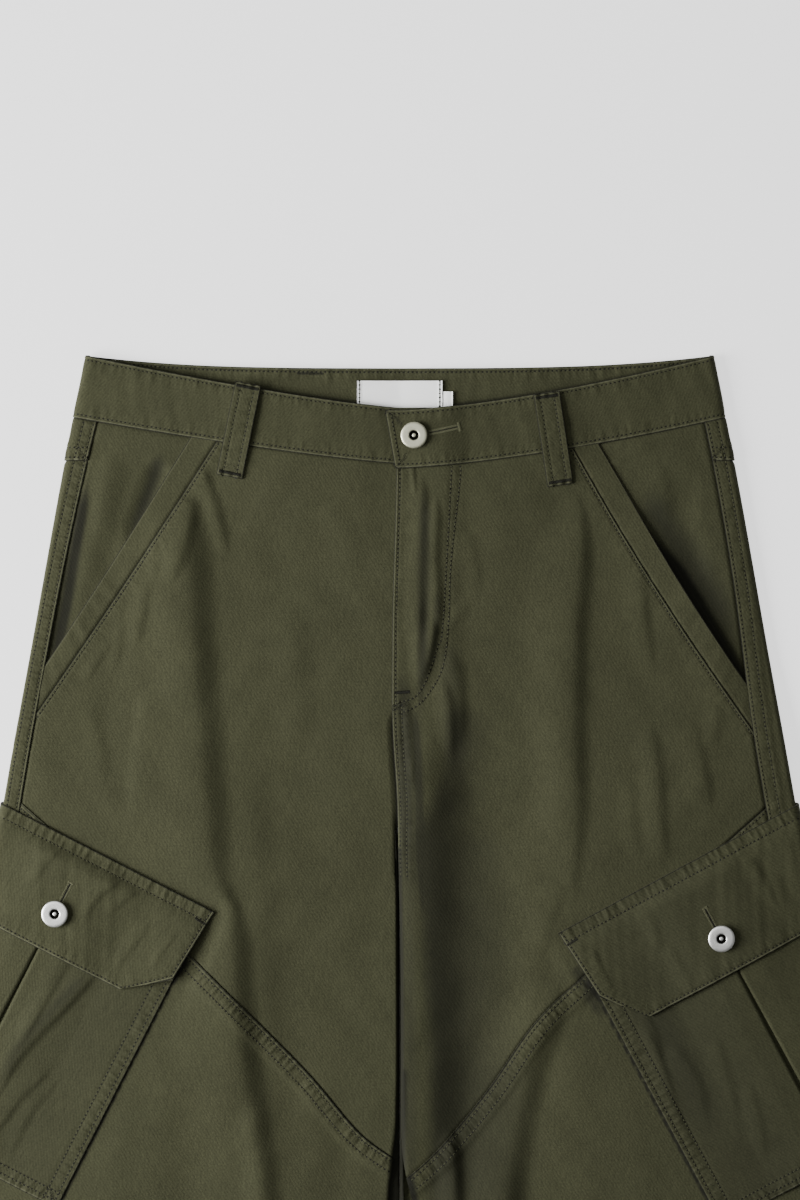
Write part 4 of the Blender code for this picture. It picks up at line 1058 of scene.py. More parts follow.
FACING_UNDER, FACING_SLOPE, FACING_PAST = 9.0, 45.0, 4.0
FACING_TOP = (-12.0, 205.0)  # its seam to the waistband: from the opening's top, and to this far across
FACING_SUNK = {LEFT: 1.9, RIGHT: 3.3}
FACING_CREASES = {LEFT: (
    Crease(1.2, 15, 11, (186+60j, 190+86j, 194+112j, 201+138j, 210+170j)),
    Crease(-2.2, 12, 13, (152+68j, 158+84j, 165+102j, 176+128j)),
), RIGHT: (
    Crease(-1.0, 17, 11, (190+74j, 187+88j, 185+102j, 186+114j, 190+126j, 194+138j, 202+152j)),
    Crease(0.7, 12, 9, (167+70j, 173+110j)),
    Crease(0.6, 4, 4, (136+71j, 155+61j, 169+57j)),
)}
HollowPoint = namedtuple("HollowPoint", "share out")
# Painted shade lies along the deepest line behind the right opening.
DARK_LINE = (  # the deepest line behind the right opening: at a share of its length, how far outside it
    HollowPoint(0.05, -14.0),
    HollowPoint(0.36, -8.0),
    HollowPoint(0.46, -2.0),
    HollowPoint(0.54, 3.0),
    HollowPoint(0.62, 3.0),
    HollowPoint(0.7, 1.7),
    HollowPoint(0.86, 0.0),
    HollowPoint(0.97, -3.0),
)
# Painted shade in the hollows of the hip facings, laid out like the creases, with how dark each is as its
# height.
FACING_HOLLOWS = {LEFT: (
    Crease(1.0, 5, 8, (200+76j, 206+112j, 209.6+132j, 213.8+158j, 218.5+182j, 222+204j, 232+270j)),
    Crease(0.65, 8, 7, (154+62j, 158+76j, 162+88j, 166.5+100j, 172+114j, 179+126j)),
), RIGHT: (
    Crease(0.55, 15, 17, (158+84j, 167+104j, 176+118j, 184+130j, 194+145j, 206+165j, 222+200j)),
)}
HAND_BAND_WALL, HAND_BAND_TUCK = 1.6, 0.9 * TUCK

for side in (LEFT, RIGHT):
    hand = HAND_POCKET[side]

    def lay_hand_band(a, b, c):
        spot = mix(band_line(side, b) - HAND_BAND_TUCK, opening_line(side, b), a)
        limit = side_seam(side, spot.imag) + TUCK
        spot = np.minimum(spot.real, limit) + 1j * spot.imag
        gape = OPENING_GAPE[side] * np.sin(np.pi * b ** 1.9) * (0.9 + 0.6 * a)
        wrinkled = 0.3 * ripple(210 * b - 13 * a, 7 + side, 38.0) * np.sin(np.pi * (0.1 + 0.8 * a))
        return Laid(spot, gape + wrinkled * ease(8 * b) + (c - 1) * HAND_BAND_WALL)

    run = np.linspace(0, 1, 60)
    cloth(f"hand_pocket_band_{NAMES[side]}", side, 16, 90, lay_hand_band, [
        Seam(opening_line(side, run), rim=0.4),
        tucked(band_line(side, run) - HAND_BAND_TUCK, 3.0, shade=0.75),
    ], grade=(0.5, 0.0))

    def lay_facing(a, b, c):
        mouth = opening_line(side, b) - FACING_UNDER
        highest = under_band(side, side_seam(side, BAND_HEIGHT)).imag
        seam = under_side_seam(side, mix(highest, hand.opening_end + FACING_PAST, b))
        spot = mix(mouth, seam, a)
        spot = spot.real + 1j * np.maximum(spot.imag, waist_seam(side, spot.real) - TUCK)
        from_mouth = (spot.real - opening_line(side, b).real) / FACING_SLOPE
        sunk = FACING_SUNK[side] * (1 - ease(from_mouth)) * (0.3 + 0.7 * ease((b - 0.22) / 0.4))
        soft = folds(FACING_CREASES, side, spot) * ease((seam.real - spot.real) / 6)
        return Laid(spot, np.maximum(soft - sunk, LOWEST_RELIEF) + (c - 1) * CLOTH)

    side_down = np.linspace(BAND_HEIGHT, hand.opening_end + FACING_PAST, 40)
    seams = [tucked(under_side_seam(side, side_down), shade=0.6 if side == LEFT else 1.0)]
    if side == RIGHT:
        share = np.linspace(DARK_LINE[0].share, DARK_LINE[-1].share, 30)
        # painted shade along the deepest line behind the right opening
        seams.append(shaded(opening_line(side, share) + column(DARK_LINE, "share", "out")(share), 3.0))
    top_across = np.linspace(hand.opening_top + FACING_TOP[0], FACING_TOP[1], 40)
    seams.append(tucked(under_band(side, top_across), 3.0))
    cloth(f"hip_facing_{NAMES[side]}", side, 44, 80, lay_facing, seams, grade=(0.3, 0.0),
          hollows=FACING_HOLLOWS)

# ---------------------------------------------------------------------------------------------------------
# Waistband
# One folded strip of twill, from the buttonhole end round the back to the button end under it. It is edge
# stitched along both long edges and across the buttonhole end.

BAND_WALL = 2.2
LAYER_GAP = 0.3
BAND_UNDERLAP, BAND_OVERLAP = 32.0, 6.2
BAND_SLANT, BAND_SLANT_REACH = 6.5, 40.0
BAND_LAP_END, BAND_LAP_RISE = 48.0, 20.0
BAND_ROW, BAND_END_ROW = 2.5, 3.5
BACK_ROW_HALF = 190.0  # half the length of the row that shows inside the back


def lay_band(a, b, c):
    side = np.where(a < 0.5, LEFT, RIGHT)
    share = np.abs(2 * a - 1)
    past_centre = np.where(side == LEFT, BAND_UNDERLAP, BAND_OVERLAP)
    down = BAND_HEIGHT * b
    for _ in range(4):  # the band's edges depend on across, which depends on down
        girth = 2 * share * side_turn(down) + np.maximum(2 * share - 1, 0) * past_centre
        across = 2 * side_turn(down) - girth
        across = across + BAND_SLANT * (b - 0.5) * ease((BAND_SLANT_REACH - across) / BAND_SLANT_REACH)
        down = mix(band_top(side, across), band_bottom(side, across), b)
    lap = np.where(side == LEFT, 0, ease((BAND_LAP_END - across) / BAND_LAP_RISE))
    flat_girth = 2 * share * side_turn(0) + np.maximum(2 * share - 1, 0) * past_centre
    wrinkled = 0.2 * ripple(side * flat_girth + 11 * b, 4, 36.0) * (1 - lap)
    out = BAND_PROUD + (BAND_WALL + LAYER_GAP) * lap + wrinkled + (c - 1) * BAND_WALL
    return Laid(across + 1j * down, out, side * flat_girth + 1j * BAND_HEIGHT * b, side)


band_ends = -2 * side_turn(0) - BAND_UNDERLAP, 2 * side_turn(0) + BAND_OVERLAP
band_run = np.linspace(*band_ends, 120)
top_edge, low_edge = Seam(band_run + 0j, (BAND_ROW,)), Seam(band_run + 1j * BAND_HEIGHT, (BAND_ROW,))
button_end = Seam(band_ends[1] + 1j * np.linspace(0, BAND_HEIGHT, 20), (BAND_END_ROW,))
back_run = np.linspace(-BACK_ROW_HALF, BACK_ROW_HALF, 60)
back_across = 2 * side_turn(0) - np.abs(back_run)
behind = band_top(np.sign(back_run), np.abs(back_run)) - band_bottom(1, back_across) + BAND_HEIGHT
# Inside the back show a row of stitching and a line of painted shade just above the front band's top edge.
cloth("waistband", None, 420, 24, lay_band, [top_edge, low_edge, button_end], grade=(0.0, 0.6),
      sew_inside=[Seam(back_run + 0j, (BAND_ROW,)), shaded(back_run + 1j * (behind + 2), 1.9)])

# ---------------------------------------------------------------------------------------------------------
# Belt loops
# Strips of twill folded in three, with two rows of stitching. Each end is turned under and held by a bar
# tack, the upper one at the waistband's top edge and the lower one a little below the waistband.

LOOP_WALL, LOOP_ROW = 1.6, 4.2
LOOP_ARCH, LOOP_STEP, LOOP_STEP_LENGTH = 1.2, 0.8, 0.15
POCKET_LIFT = 0.4  # clearance of a piece that lies on a panel
BeltLoop = namedtuple("BeltLoop", "name side top end")
FRONT_LOOPS = (
    BeltLoop("belt_loop_front_left", LEFT, 97.4+18.6j, 109.7+78.5j),
    BeltLoop("belt_loop_front_right", RIGHT, 94.6+24.6j, 103.7+84j),
)


def loop_edges(length):
    """The four folded edges of a belt loop."""
    down, over = 1j * np.linspace(0, length, 30), np.linspace(0, LOOP_WIDTH, 10) + 0j
    edges = (down, (LOOP_ROW,)), (LOOP_WIDTH + down, (LOOP_ROW,)), (over, ()), (over + 1j * length, ())
    return [Seam(path, rows, rim=0.3) for path, rows in edges]


for loop in FRONT_LOOPS:
    length = abs(loop.end - loop.top)
    sideways = (loop.end - loop.top) / length * -1j

    def lay_loop(a, b, c):
        spot = loop.top + (loop.end - loop.top) * b + sideways * LOOP_WIDTH * (a - 0.5)
        arch = LOOP_ARCH * np.sin(np.pi * np.clip(b / LOOP_STEP, 0, 1))
        height = BAND_PROUD + POCKET_LIFT + arch - BAND_PROUD * ease((b - LOOP_STEP) / LOOP_STEP_LENGTH)
        bunched = 0.5 * ease(1 - np.minimum(b, 1 - b) * length / 5) * np.sin(a * 19 + b * 4)
        return Laid(spot, height + bunched + c * LOOP_WALL, LOOP_WIDTH * a + 1j * length * b)

    cloth(loop.name, loop.side, 26, 64, lay_loop, loop_edges(length), grade=(0.4, 0.4))

for side in (LEFT, RIGHT):
    length = BACK_LOOP_END - BACK_LOOP_TOP

    def lay_back_loop(a, b, c):
        down = mix(BACK_LOOP_TOP, BACK_LOOP_END, b)
        x = BACK_LOOP_X + LOOP_WIDTH * (a - 0.5)
        spot = 2 * side_turn(down) - x + 1j * down
        return Laid(spot, LOOP_REST + (c - 1) * LOOP_WALL, LOOP_WIDTH * a + 1j * length * b)

    cloth(f"belt_loop_back_{NAMES[side]}", side, 20, 40, lay_back_loop, loop_edges(length), grade=(0.4, 0.4))

# ---------------------------------------------------------------------------------------------------------
# Cargo pockets
# Patch pockets with a box pleat down the middle, edge stitched on three sides with two rows, wrapped round
# the side fold. The pleat's folded edges meet under the flap and spread towards the bottom.

POCKET_TOP = 16.0
PLEAT_HALF, PLEAT_PAST, PLEAT_RAMP = 14.0, 2.0, 30.0
PLEAT_OPEN, PLEAT_SHUT, PLEAT_SPREAD = 1.5, 49.5, 110.0
PLEAT_ROUND = 0.55  # the pleat's folds are rounded over this much to each side
SIDE_ROWS, BOTTOM_ROWS = (3.3, 10.6), (4.0, 9.5)
POCKET_CREASES = {LEFT: (
    Crease(0.8, 4, 12, (70+64j, 71+93j, 72+117j, 72+138j)),
    Crease(1.5, 5, 17, (48+66j, 53+78j, 59+100j, 67+125j, 71+147j, 69+174j)),
    Crease(0.5, 4, 9, (41+140j, 46+163j, 47+183j, 44+205j)),
    Crease(0.8, 4, 12, (48+138j, 57+162j, 60+180j, 62+200j)),
    Crease(1.2, 8, 14, (140+80j, 134+120j, 141+170j)),
    Crease(0.8, 6, 10, (160+90j, 156+130j, 160+190j)),
), RIGHT: (
    Crease(0.7, 12, 6, (30+96j, 33+121j, 30+138j, 24+158j)),
    Crease(0.8, 12, 5, (20+76j, 18+105j, 12+134j, 11+168j)),
    Crease(0.6, 14, 6, (57+105j, 49+141j, 41+170j)),
    Crease(0.5, 10, 5, (61+142j, 56+167j, 46+195j)),
    Crease(0.6, 8, 4, (24+68j, 23+90j, 18+106j)),
    Crease(1.2, 14, 8, (134+84j, 140+130j, 133+178j)),
    Crease(0.8, 10, 6, (158+110j, 161+150j, 155+196j)),
)}
POCKET_SOFT, POCKET_SLACK, POCKET_TAUT = 12.0, (50.0, 30.0), 24.0  # creases fade at its sides, top and bottom
# Painted shade on the cargo pockets, laid out like the creases with how dark each is as its height: a wide,
# even shade over each pocket, darker on the right one, and shade in some of their folds.
POCKET_HOLLOWS = {LEFT: (
    Crease(0.12, 60, 60, (40-60j, 40+100j, 40+400j)),
    Crease(0.3, 6, 7, (50+70j, 57+92j, 64+116j, 69+140j, 68+176j)),
), RIGHT: (
    Crease(0.24, 80, 60, (44-60j, 44+100j, 44+400j)),
    Crease(0.2, 30, 20, (20+40j, 26+70j, 24+120j, 20+180j)),
)}


def round_the_side(spot):
    """Wraps spots of a flat piece round the slanting side fold, so that the piece keeps its shape there."""
    down = spot.imag
    past = spot.real - side_turn(down)
    lean = np.arctan(outer_edge(down + 1) - outer_edge(down))
    lower = down + past * np.sin(2 * lean)
    wrapped = 2 * side_turn(lower) - spot.real + 2 * past * np.cos(lean) ** 2 + 1j * lower
    return np.where(past > 0, wrapped, spot)


def pleat_corners(opening):
    """The middle line of the pocket's wall as u + height * 1j, for each opening of the pleat."""
    middle = FLAP_WIDTH / 2
    low, mid, high = (POCKET_LIFT + CLOTH / 2 + (CLOTH + LAYER_GAP) * k for k in range(3))
    raised = middle - PLEAT_HALF - PLEAT_PAST
    edge = middle - opening / 2
    half = [
        POCKET_INSET + 1j * low, raised - PLEAT_RAMP + 1j * low, raised + 1j * high, edge + 1j * high,
        edge + 1j * mid, middle - PLEAT_HALF + 1j * mid, middle - PLEAT_HALF + 1j * low, middle + 1j * low,
    ]
    half = [np.broadcast_to(spot, opening.shape) for spot in half]
    return half + [FLAP_WIDTH - spot.conj() for spot in half[-2::-1]]


pleat_run = np.abs(np.diff([spot[0] for spot in pleat_corners(np.ones(1))]))
PLEAT_SHARES = np.concatenate([[0], np.cumsum(pleat_run)]) / pleat_run.sum()
POCKET_GIRTH = pleat_run.sum()

for side in (LEFT, RIGHT):
    def lay_pocket(a, b, c):
        v = mix(POCKET_TOP, POCKET_BOTTOM, b)
        opening = 2 * LAYER_GAP + CLOTH + PLEAT_OPEN * ease((v - PLEAT_SHUT) / PLEAT_SPREAD)
        corners = pleat_corners(opening)
        step = PLEAT_ROUND / POCKET_GIRTH
        before = between(np.clip(a - step, 0, 1), PLEAT_SHARES, corners)
        after = between(np.clip(a + step, 0, 1), PLEAT_SHARES, corners)
        line = (before + between(a, PLEAT_SHARES, corners) + after) / 3
        line = line + 1j * (after - before) / np.abs(after - before) * CLOTH * (c - 0.5)
        sag = 0.3 * np.sin(line.real / 13 + side) * np.sin(v / 31) + 0.15 * np.sin(v / 9 + line.real / 23)
        at_side = np.minimum(line.real, FLAP_WIDTH - line.real) - POCKET_INSET
        sag = (sag + folds(POCKET_CREASES, side, line.real + 1j * v)) * ease(at_side / POCKET_SOFT)
        sag = sag * ease((v - POCKET_SLACK[0]) / POCKET_SLACK[1]) * ease((POCKET_BOTTOM - v) / POCKET_TAUT)
        spot = round_the_side(from_frame(side, line.real + 1j * v))
        return Laid(spot, line.imag + sag, POCKET_GIRTH * a + 1j * v)

    run_v = np.linspace(POCKET_TOP, POCKET_BOTTOM, 40)
    run_s = np.linspace(0, POCKET_GIRTH, 60)
    cloth(f"cargo_pocket_{NAMES[side]}", side, 190, 84, lay_pocket, [
        Seam(1j * run_v, SIDE_ROWS, rim=0.45),
        Seam(POCKET_GIRTH + 1j * run_v, SIDE_ROWS),
        Seam(run_s + 1j * POCKET_BOTTOM, BOTTOM_ROWS),
    ], grade=(0.0, 0.3), hollows=POCKET_HOLLOWS)

# ---------------------------------------------------------------------------------------------------------
# Cargo flaps
# Each flap is two layers of twill bagged out, with its lower corners cut off. It is sewn on above its pocket,
# edge stitched, and lies over the pleat.

FLAP_WALL, FLAP_SEWN, FLAP_CLIMB = 1.6, 1.5, 15.0
FLAP_TOP_ROW, FLAP_ROW = 7.7, 2.0
FLAP_RAMP = 34.0  # the flap comes down this far past the pleat
CORNER_LIFT, CORNER_REACH = {LEFT: 3.0, RIGHT: 2.0}, 46.0
FLAP_SETTLE = 20.0  # past the side fold, it comes to rest on what lies below over this length
FLAP_SMOOTH = 15.0  # and its waves fade out over this length before the fold
FLAP_CREASES = {LEFT: (
    Crease(0.7, 3.5, 9, (107+9j, 112+21j, 115+42j)),
    Crease(0.8, 3.5, 10, (63+8j, 69+20j, 72+32j, 70+48j)),
    Crease(0.5, 3.5, 7, (51+9j, 57+25j, 63+35j)),
    Crease(0.4, 4, 6, (80+51j, 62+48j, 50+42j)),
    Crease(0.5, 4, 8, (33+24j, 37+54j, 37+68j)),
    Crease(0.4, 3, 6, (14+22j, 16+40j, 15+54j)),
    Crease(0.7, 8, 10, (150+12j, 146+40j, 151+60j)),
), RIGHT: (
    Crease(0.8, 9, 5, (131+12j, 133+36j, 133+54j)),
    Crease(0.4, 6, 4, (26+10j, 34+20j, 48+24j)),
    Crease(0.6, 9, 5, (57+40j, 57+57j, 59+74j)),
    Crease(0.5, 8, 4, (13+18j, 10+36j, 9+50j)),
    Crease(0.5, 8, 5, (55+8j, 54+27j, 50+42j)),
    Crease(0.5, 9, 6, (140+30j, 140+51j, 137+73j)),
    Crease(0.5, 9, 6, (160+14j, 155+40j, 158+62j)),
)}
# Painted shade, even over the whole right flap.
FLAP_HOLLOWS = {RIGHT: (
    Crease(0.14, 90, 90, (60-90j, 60+30j, 60+200j)),
)}


def pocket_top_height(u):
    """How high the pocket's outer face stands at u, with its pleat."""
    from_middle = np.abs(u - FLAP_WIDTH / 2)
    return POCKET_LIFT + CLOTH + 2 * (CLOTH + LAYER_GAP) * ease(
        (PLEAT_HALF + PLEAT_PAST + FLAP_RAMP - from_middle) / FLAP_RAMP)


for side in (LEFT, RIGHT):
    place = POCKET_FRAME[side]
    middle = FLAP_WIDTH / 2

    def lay_flap(a, b, c):
        u = FLAP_WIDTH * a
        lower = mix(place.side_drop + 1, place.drop, np.clip(np.minimum(u, FLAP_WIDTH - u) / place.cut, 0, 1))
        v = lower * b
        taper = 1 - FLAP_TAPER / middle * np.clip(v / place.side_drop, 0, 1)
        over_pocket = ease((v - FLAP_SEWN) / FLAP_CLIMB)
        lowest = POCKET_LIFT + over_pocket * pocket_top_height(u)
        flat = middle + (u - middle) * taper + 1j * v
        laid = from_frame(side, flat)
        past = laid.real - side_turn(laid.imag)
        lowest = lowest + np.maximum(POCKET_REST - FLAP_WALL - lowest, 0) * ease(past / FLAP_SETTLE)
        wave = 0.2 * np.sin(u / 21 + v / 33 + 2 * side) * ease((b - 0.35) / 0.6)
        wave = wave + 0.16 * ripple(u + v / 2, 6 + side, 30.0) + folds(FLAP_CREASES, side, u + 1j * v)
        wave = wave * over_pocket * ease(-past / FLAP_SMOOTH)
        from_corner = np.abs(u + 1j * (v - place.side_drop * 0.9))
        wave = wave + CORNER_LIFT[side] * ease(1 - from_corner / CORNER_REACH) * over_pocket
        return Laid(round_the_side(laid), lowest + wave + c * FLAP_WALL, flat)

    outline = [0, FLAP_TAPER + 1j * place.side_drop, place.cut + 1j * place.drop]
    outline += [FLAP_WIDTH - np.conj(spot) for spot in reversed(outline)]
    outline = np.interp(np.linspace(0.02, 4.98, 201), range(6), np.array(outline))
    cloth(f"cargo_flap_{NAMES[side]}", side, 150, 56, lay_flap, [
        Seam(np.linspace(0, FLAP_WIDTH, 60) + 0j, (FLAP_TOP_ROW,), reach=2.0, rim=0.0),
        Seam(outline, (FLAP_ROW,), 0.3, 2.6, rim=1.2),
    ], grade=(0.3, 0.6), hollows=FLAP_HOLLOWS)

# ---------------------------------------------------------------------------------------------------------
# Buttons
# Tack buttons of nickel-plated brass: a turned ring with a rolled rim round a recess, in which the tack's
# head shows. The two on the flaps are brighter than the worn one at the waist.

BUTTON_PROFILE = (  # radius and height, from the tack's head over the ring to its underside
    (0, 2.9), (0.9, 2.85), (1.35, 2.6), (1.5, 2.2), (1.5, 1.2), (2.7, 1.2), (2.95, 1.5), (3.0, 2.8),
    (3.1, 3.15), (3.5, 3.36), (4.1, 3.4), (6.6, 3.4), (7.7, 3.34), (8.3, 3.1), (8.58, 2.7), (8.5, 2.2),
    (8.1, 1.75), (7.3, 1.35), (3.4, 0.15), (0, 0),
)
WAIST_BUTTON = 9.3+52j
TURN_STEPS = 64
# Shade is painted in the groove round the tack's head, with a dark material.
RECESS, RECESS_RIM = (1.4, 3.05), 3.0  # the dark groove round the tack's head
SPECKLE = 0.7  # grain of the brushed plate


def make_nickel(name, colour, roughness):
    """Satin nickel plate: a fine brushed speckle in its roughness and a slightly uneven surface."""
    made, tree, shader = new_material(name)
    place = add_node(tree, "TexCoord", {}).outputs["Object"]
    speckle = add_node(tree, "TexNoise", {"Vector": place, "Scale": 1 / (SPECKLE * MM), "Detail": 3.0})
    rough = add_node(tree, "MapRange", {
        "Value": speckle, "To Min": roughness - 0.1, "To Max": roughness + 0.12,
    })
    bump = add_node(tree, "Bump", {"Height": speckle, "Strength": 0.25, "Distance": 0.2 * MM})
    fill(tree, shader, {
        "Base Color": linear(colour), "Metallic": 1.0, "Roughness": rough, "Normal": bump,
    })
    return made


def make_button(name, side, spot, out, material):
    """A button turned from its profile and set on the trousers, with shade painted in its recess."""
    bm = bmesh.new()
    verts = [bm.verts.new((radius * MM, 0, height * MM)) for radius, height in BUTTON_PROFILE]
    edges = [bm.edges.new(pair) for pair in zip(verts, verts[1:])]
    bmesh.ops.spin(bm, geom=verts + edges, axis=(0, 0, 1), cent=(0, 0, 0), steps=TURN_STEPS,
                   angle=2 * math.pi, use_merge=True)
    bmesh.ops.remove_doubles(bm, verts=bm.verts[:], dist=0.001 * MM)
    bmesh.ops.recalc_face_normals(bm, faces=bm.faces[:])
    at = skin(side, np.array([spot.real]), np.array([spot.imag]), np.array([out]))[0]
    bmesh.ops.translate(bm, verts=bm.verts[:], vec=at)
    for face in bm.faces:
        middle = face.calc_center_median() - Vector(at)
        face.material_index = RECESS[0] < middle.xy.length / MM < RECESS[1] and middle.z / MM < RECESS_RIM
    mesh = as_mesh(bm, name)
    finish_piece(mesh, f"{name}_turned", material, [name])
    mesh.materials.append(RECESS_SHADE)


# Painted shade in the buttons' recess: the plate's material, made dark and rough.
RECESS_SHADE = make_nickel("painted shade in the button recess", "#1E1D18", 0.7)
NICKEL = make_nickel("satin nickel-plated brass", "#DCDCD8", 0.42)
WORN_NICKEL = make_nickel("worn nickel-plated brass", "#BEBEA8", 0.48)
for side in (LEFT, RIGHT):
    height = POCKET_LIFT + pocket_top_height(FLAP_WIDTH / 2) + FLAP_WALL + LAYER_GAP
    spot = from_frame(side, FLAP_WIDTH / 2 + 1j * POCKET_FRAME[side].button_drop)
    make_button(f"flap_button_{NAMES[side]}", side, spot, height, NICKEL)
make_button("waist_button", RIGHT, WAIST_BUTTON, BAND_PROUD + BAND_WALL + 2 * LAYER_GAP, WORN_NICKEL)

# ---------------------------------------------------------------------------------------------------------
# Label and size tab
# Bare white woven tapes, sewn down by their ends to the inner face of the waistband's back.

LABEL_HALF, LABEL_TOP, LABEL_HEIGHT, LABEL_WALL, LABEL_GAP = 27.5, 16.5, 30.0, 1.0, 0.5
LABEL_ROW = 1.6
TAB_WIDTH, TAB_TOP, TAB_HEIGHT = 6.5, 23.5, 16.0
WEAVE = 0.9  # the real weave repeats every 0.3 mm; it is drawn coarser so that it shows


def make_tape(name, colour):
    """White polyester satin tape: a fine plain weave and a soft sheen."""
    made, tree, shader = new_material(name)
    flat = add_node(tree, "UVMap", {}, uv_map="cloth")
    weave = add_node(tree, "TexChecker", {"Vector": flat, "Scale": 1 / (WEAVE / 2 * MM)}).outputs["Fac"]
    noise = add_node(tree, "TexNoise", {"Vector": flat, "Scale": 1 / (4 * MM), "Detail": 4.0})
    height = add_node(tree, "Math", {0: noise, 1: 0.4, 2: weave}, operation="MULTIPLY_ADD")
    bump = add_node(tree, "Bump", {"Height": height, "Strength": 0.3, "Distance": 0.1 * MM})
    fill(tree, shader, {
        "Base Color": linear(colour), "Roughness": 0.6, "Sheen Weight": 0.2, "Normal": bump,
    })
    return made


TAPE = make_tape("white satin tape", "#F6F6F4")


def make_label(name, start, end, top, height, rows=()):
    """A tape inside the waistband's back, stitched at its start and its end across."""
    def lay_tape(a, b, c):
        x = mix(start, end, a)
        down = top + height * b
        side = np.where(x < 0, LEFT, RIGHT)
        bowed = 0.25 * np.sin(np.pi * a) + 0.1 * np.sin(x / 7 + b)
        out = BAND_PROUD - BAND_WALL - LABEL_GAP - c * LABEL_WALL * (1 + bowed * c)
        return Laid(2 * side_turn(down) - np.abs(x) + 1j * down, out, x + 1j * down, side)

    down = np.linspace(top, top + height, 20)
    edges = [start + 1j * down, end + 1j * down]
    cloth(name, None, 40, 24, lay_tape, [Seam(edge, rows) for edge in edges], (0.5, 0.2), TAPE)


make_label("label", -LABEL_HALF, LABEL_HALF, LABEL_TOP, LABEL_HEIGHT, (LABEL_ROW,))
make_label("size_tab", LABEL_HALF + LAYER_GAP, LABEL_HALF + LAYER_GAP + TAB_WIDTH, TAB_TOP, TAB_HEIGHT)

# ---------------------------------------------------------------------------------------------------------
# Topstitching, bar tacks and buttonholes
# Olive core-spun thread in lockstitch, eight stitches to 25 mm. Each stitch sinks into the twill between two
# needle holes, whose shade is painted as small dark discs. Bar tacks and buttonholes are the same thread,
# worked close.

PITCH, STITCH = 2.8, 2.1
THREAD_WIDTH, THREAD_HEIGHT, THREAD_LIFT = 0.62, 0.34, 0.1
HOLE_RADIUS, HOLE_LIFT = 0.66, 0.08
SATIN_WIDTH, SATIN_PITCH, SLIT_PITCH = 0.6, 0.55, 0.8
TWIST = 0.5  # the thread's grain


def make_thread(name, colour):
    """Matt twisted thread: a fine grain along each stitch."""
    made, tree, shader = new_material(name)
    place = add_node(tree, "TexCoord", {}).outputs["Object"]
    twist = add_node(tree, "TexNoise", {"Vector": place, "Scale": 1 / (TWIST * MM), "Detail": 2.0})
    bump = add_node(tree, "Bump", {"Height": twist, "Strength": 0.5, "Distance": 0.1 * MM})
    fill(tree, shader, {
        "Base Color": linear(colour), "Roughness": 0.8, "Specular IOR Level": 0.2, "Normal": bump,
    })
    return made


THREAD = make_thread("olive core-spun thread", "#3A3B29")
# The shade in needle holes and buttonhole cuts is painted with this dark thread material.
HOLE_SHADE = make_thread("painted shade in needle holes", "#0D0D07")
DARK_THREAD = make_thread("dark olive bar tack thread", "#14140D")
PALE_THREAD = make_thread("pale olive buttonhole thread", "#4E4F3A")


def inset(path, distance, centre):
    """A line this far from a path, on the side of the centre."""
    step = np.gradient(path)
    sideways = 1j * step / np.abs(step)
    middle = len(path) // 2
    if ((centre - path[middle]) * sideways[middle].conjugate()).real < 0:
        sideways = -sideways
    return path + distance * sideways


def on_surface(surface, spot):
    """World place and normal of a spot on the flat cloth."""
    hit, _, index, _ = surface.tree.find_nearest((spot.real, spot.imag, 0))
    face = surface.faces[index]
    flat = [Vector(surface.flat[i]) for i in face]
    world = [Vector(surface.world[i]) for i in face]
    normal = (world[1] - world[0]).cross(world[2] - world[0]).normalized()
    return barycentric_transform(hit, *flat, *world), normal


def add_thread(bm, start, end, normal, length, width=THREAD_WIDTH):
    """One stitch between two places, lying half sunk in the cloth."""
    along = (end - start).normalized()
    sideways = normal.cross(along).normalized()
    turn = Matrix((along, sideways, along.cross(sideways))).transposed().to_4x4()
    middle = (start + end) / 2 + normal * THREAD_LIFT * MM
    size = Matrix.Diagonal((length / 2 * MM, width / 2 * MM, THREAD_HEIGHT / 2 * MM, 1))
    bmesh.ops.create_icosphere(bm, subdivisions=1, radius=1, matrix=Matrix.Translation(middle) @ turn @ size)


def add_hole(bm, place, normal):
    """A needle hole's shade, painted as a small dark disc just clear of the cloth."""
    turn = normal.to_track_quat("Z", "Y").to_matrix().to_4x4()
    made = bmesh.ops.create_circle(bm, cap_ends=True, segments=6, radius=HOLE_RADIUS * MM,
                                   matrix=Matrix.Translation(place + normal * HOLE_LIFT * MM) @ turn)
    for face in made["verts"][0].link_faces:
        face.material_index = 1


def steps_along(line, pitch):
    """Spots at even steps along a line, from end to end."""
    before = np.concatenate([[0], np.cumsum(np.abs(np.diff(line)))])
    at = np.linspace(0, before[-1], max(round(before[-1] / pitch), 1) + 1)
    return np.interp(at, before, line.real) + 1j * np.interp(at, before, line.imag)


def sew(bm, surface, line):
    """A row of lockstitch along a line on the flat cloth, made apart because a small bmesh grows faster."""
    row = [on_surface(surface, spot) for spot in steps_along(line, PITCH)]
    piece = bmesh.new()
    for place, normal in row:
        add_hole(piece, place, normal)
    for (start, normal), (end, _) in zip(row, row[1:]):
        add_thread(piece, start, end, normal, STITCH)
    mesh = as_mesh(piece, "row")
    bm.from_mesh(mesh)
    bpy.data.meshes.remove(mesh)


def satin(bm, surface, line, width, pitch=SATIN_PITCH):
    """Threads side by side across a line, as in a bar tack or a worked buttonhole."""
    row = steps_along(line, pitch)
    across = 1j * (row[-1] - row[0]) / abs(row[-1] - row[0]) * width / 2
    for spot in row:
        start, normal = on_surface(surface, spot - across)
        end, _ = on_surface(surface, spot + across)
        add_thread(bm, start, end, normal, width, SATIN_WIDTH)


def slit(bm, surface, line):
    """The cut of a buttonhole, its shade painted as small dark discs."""
    for spot in steps_along(line, SLIT_PITCH):
        add_hole(bm, *on_surface(surface, spot))


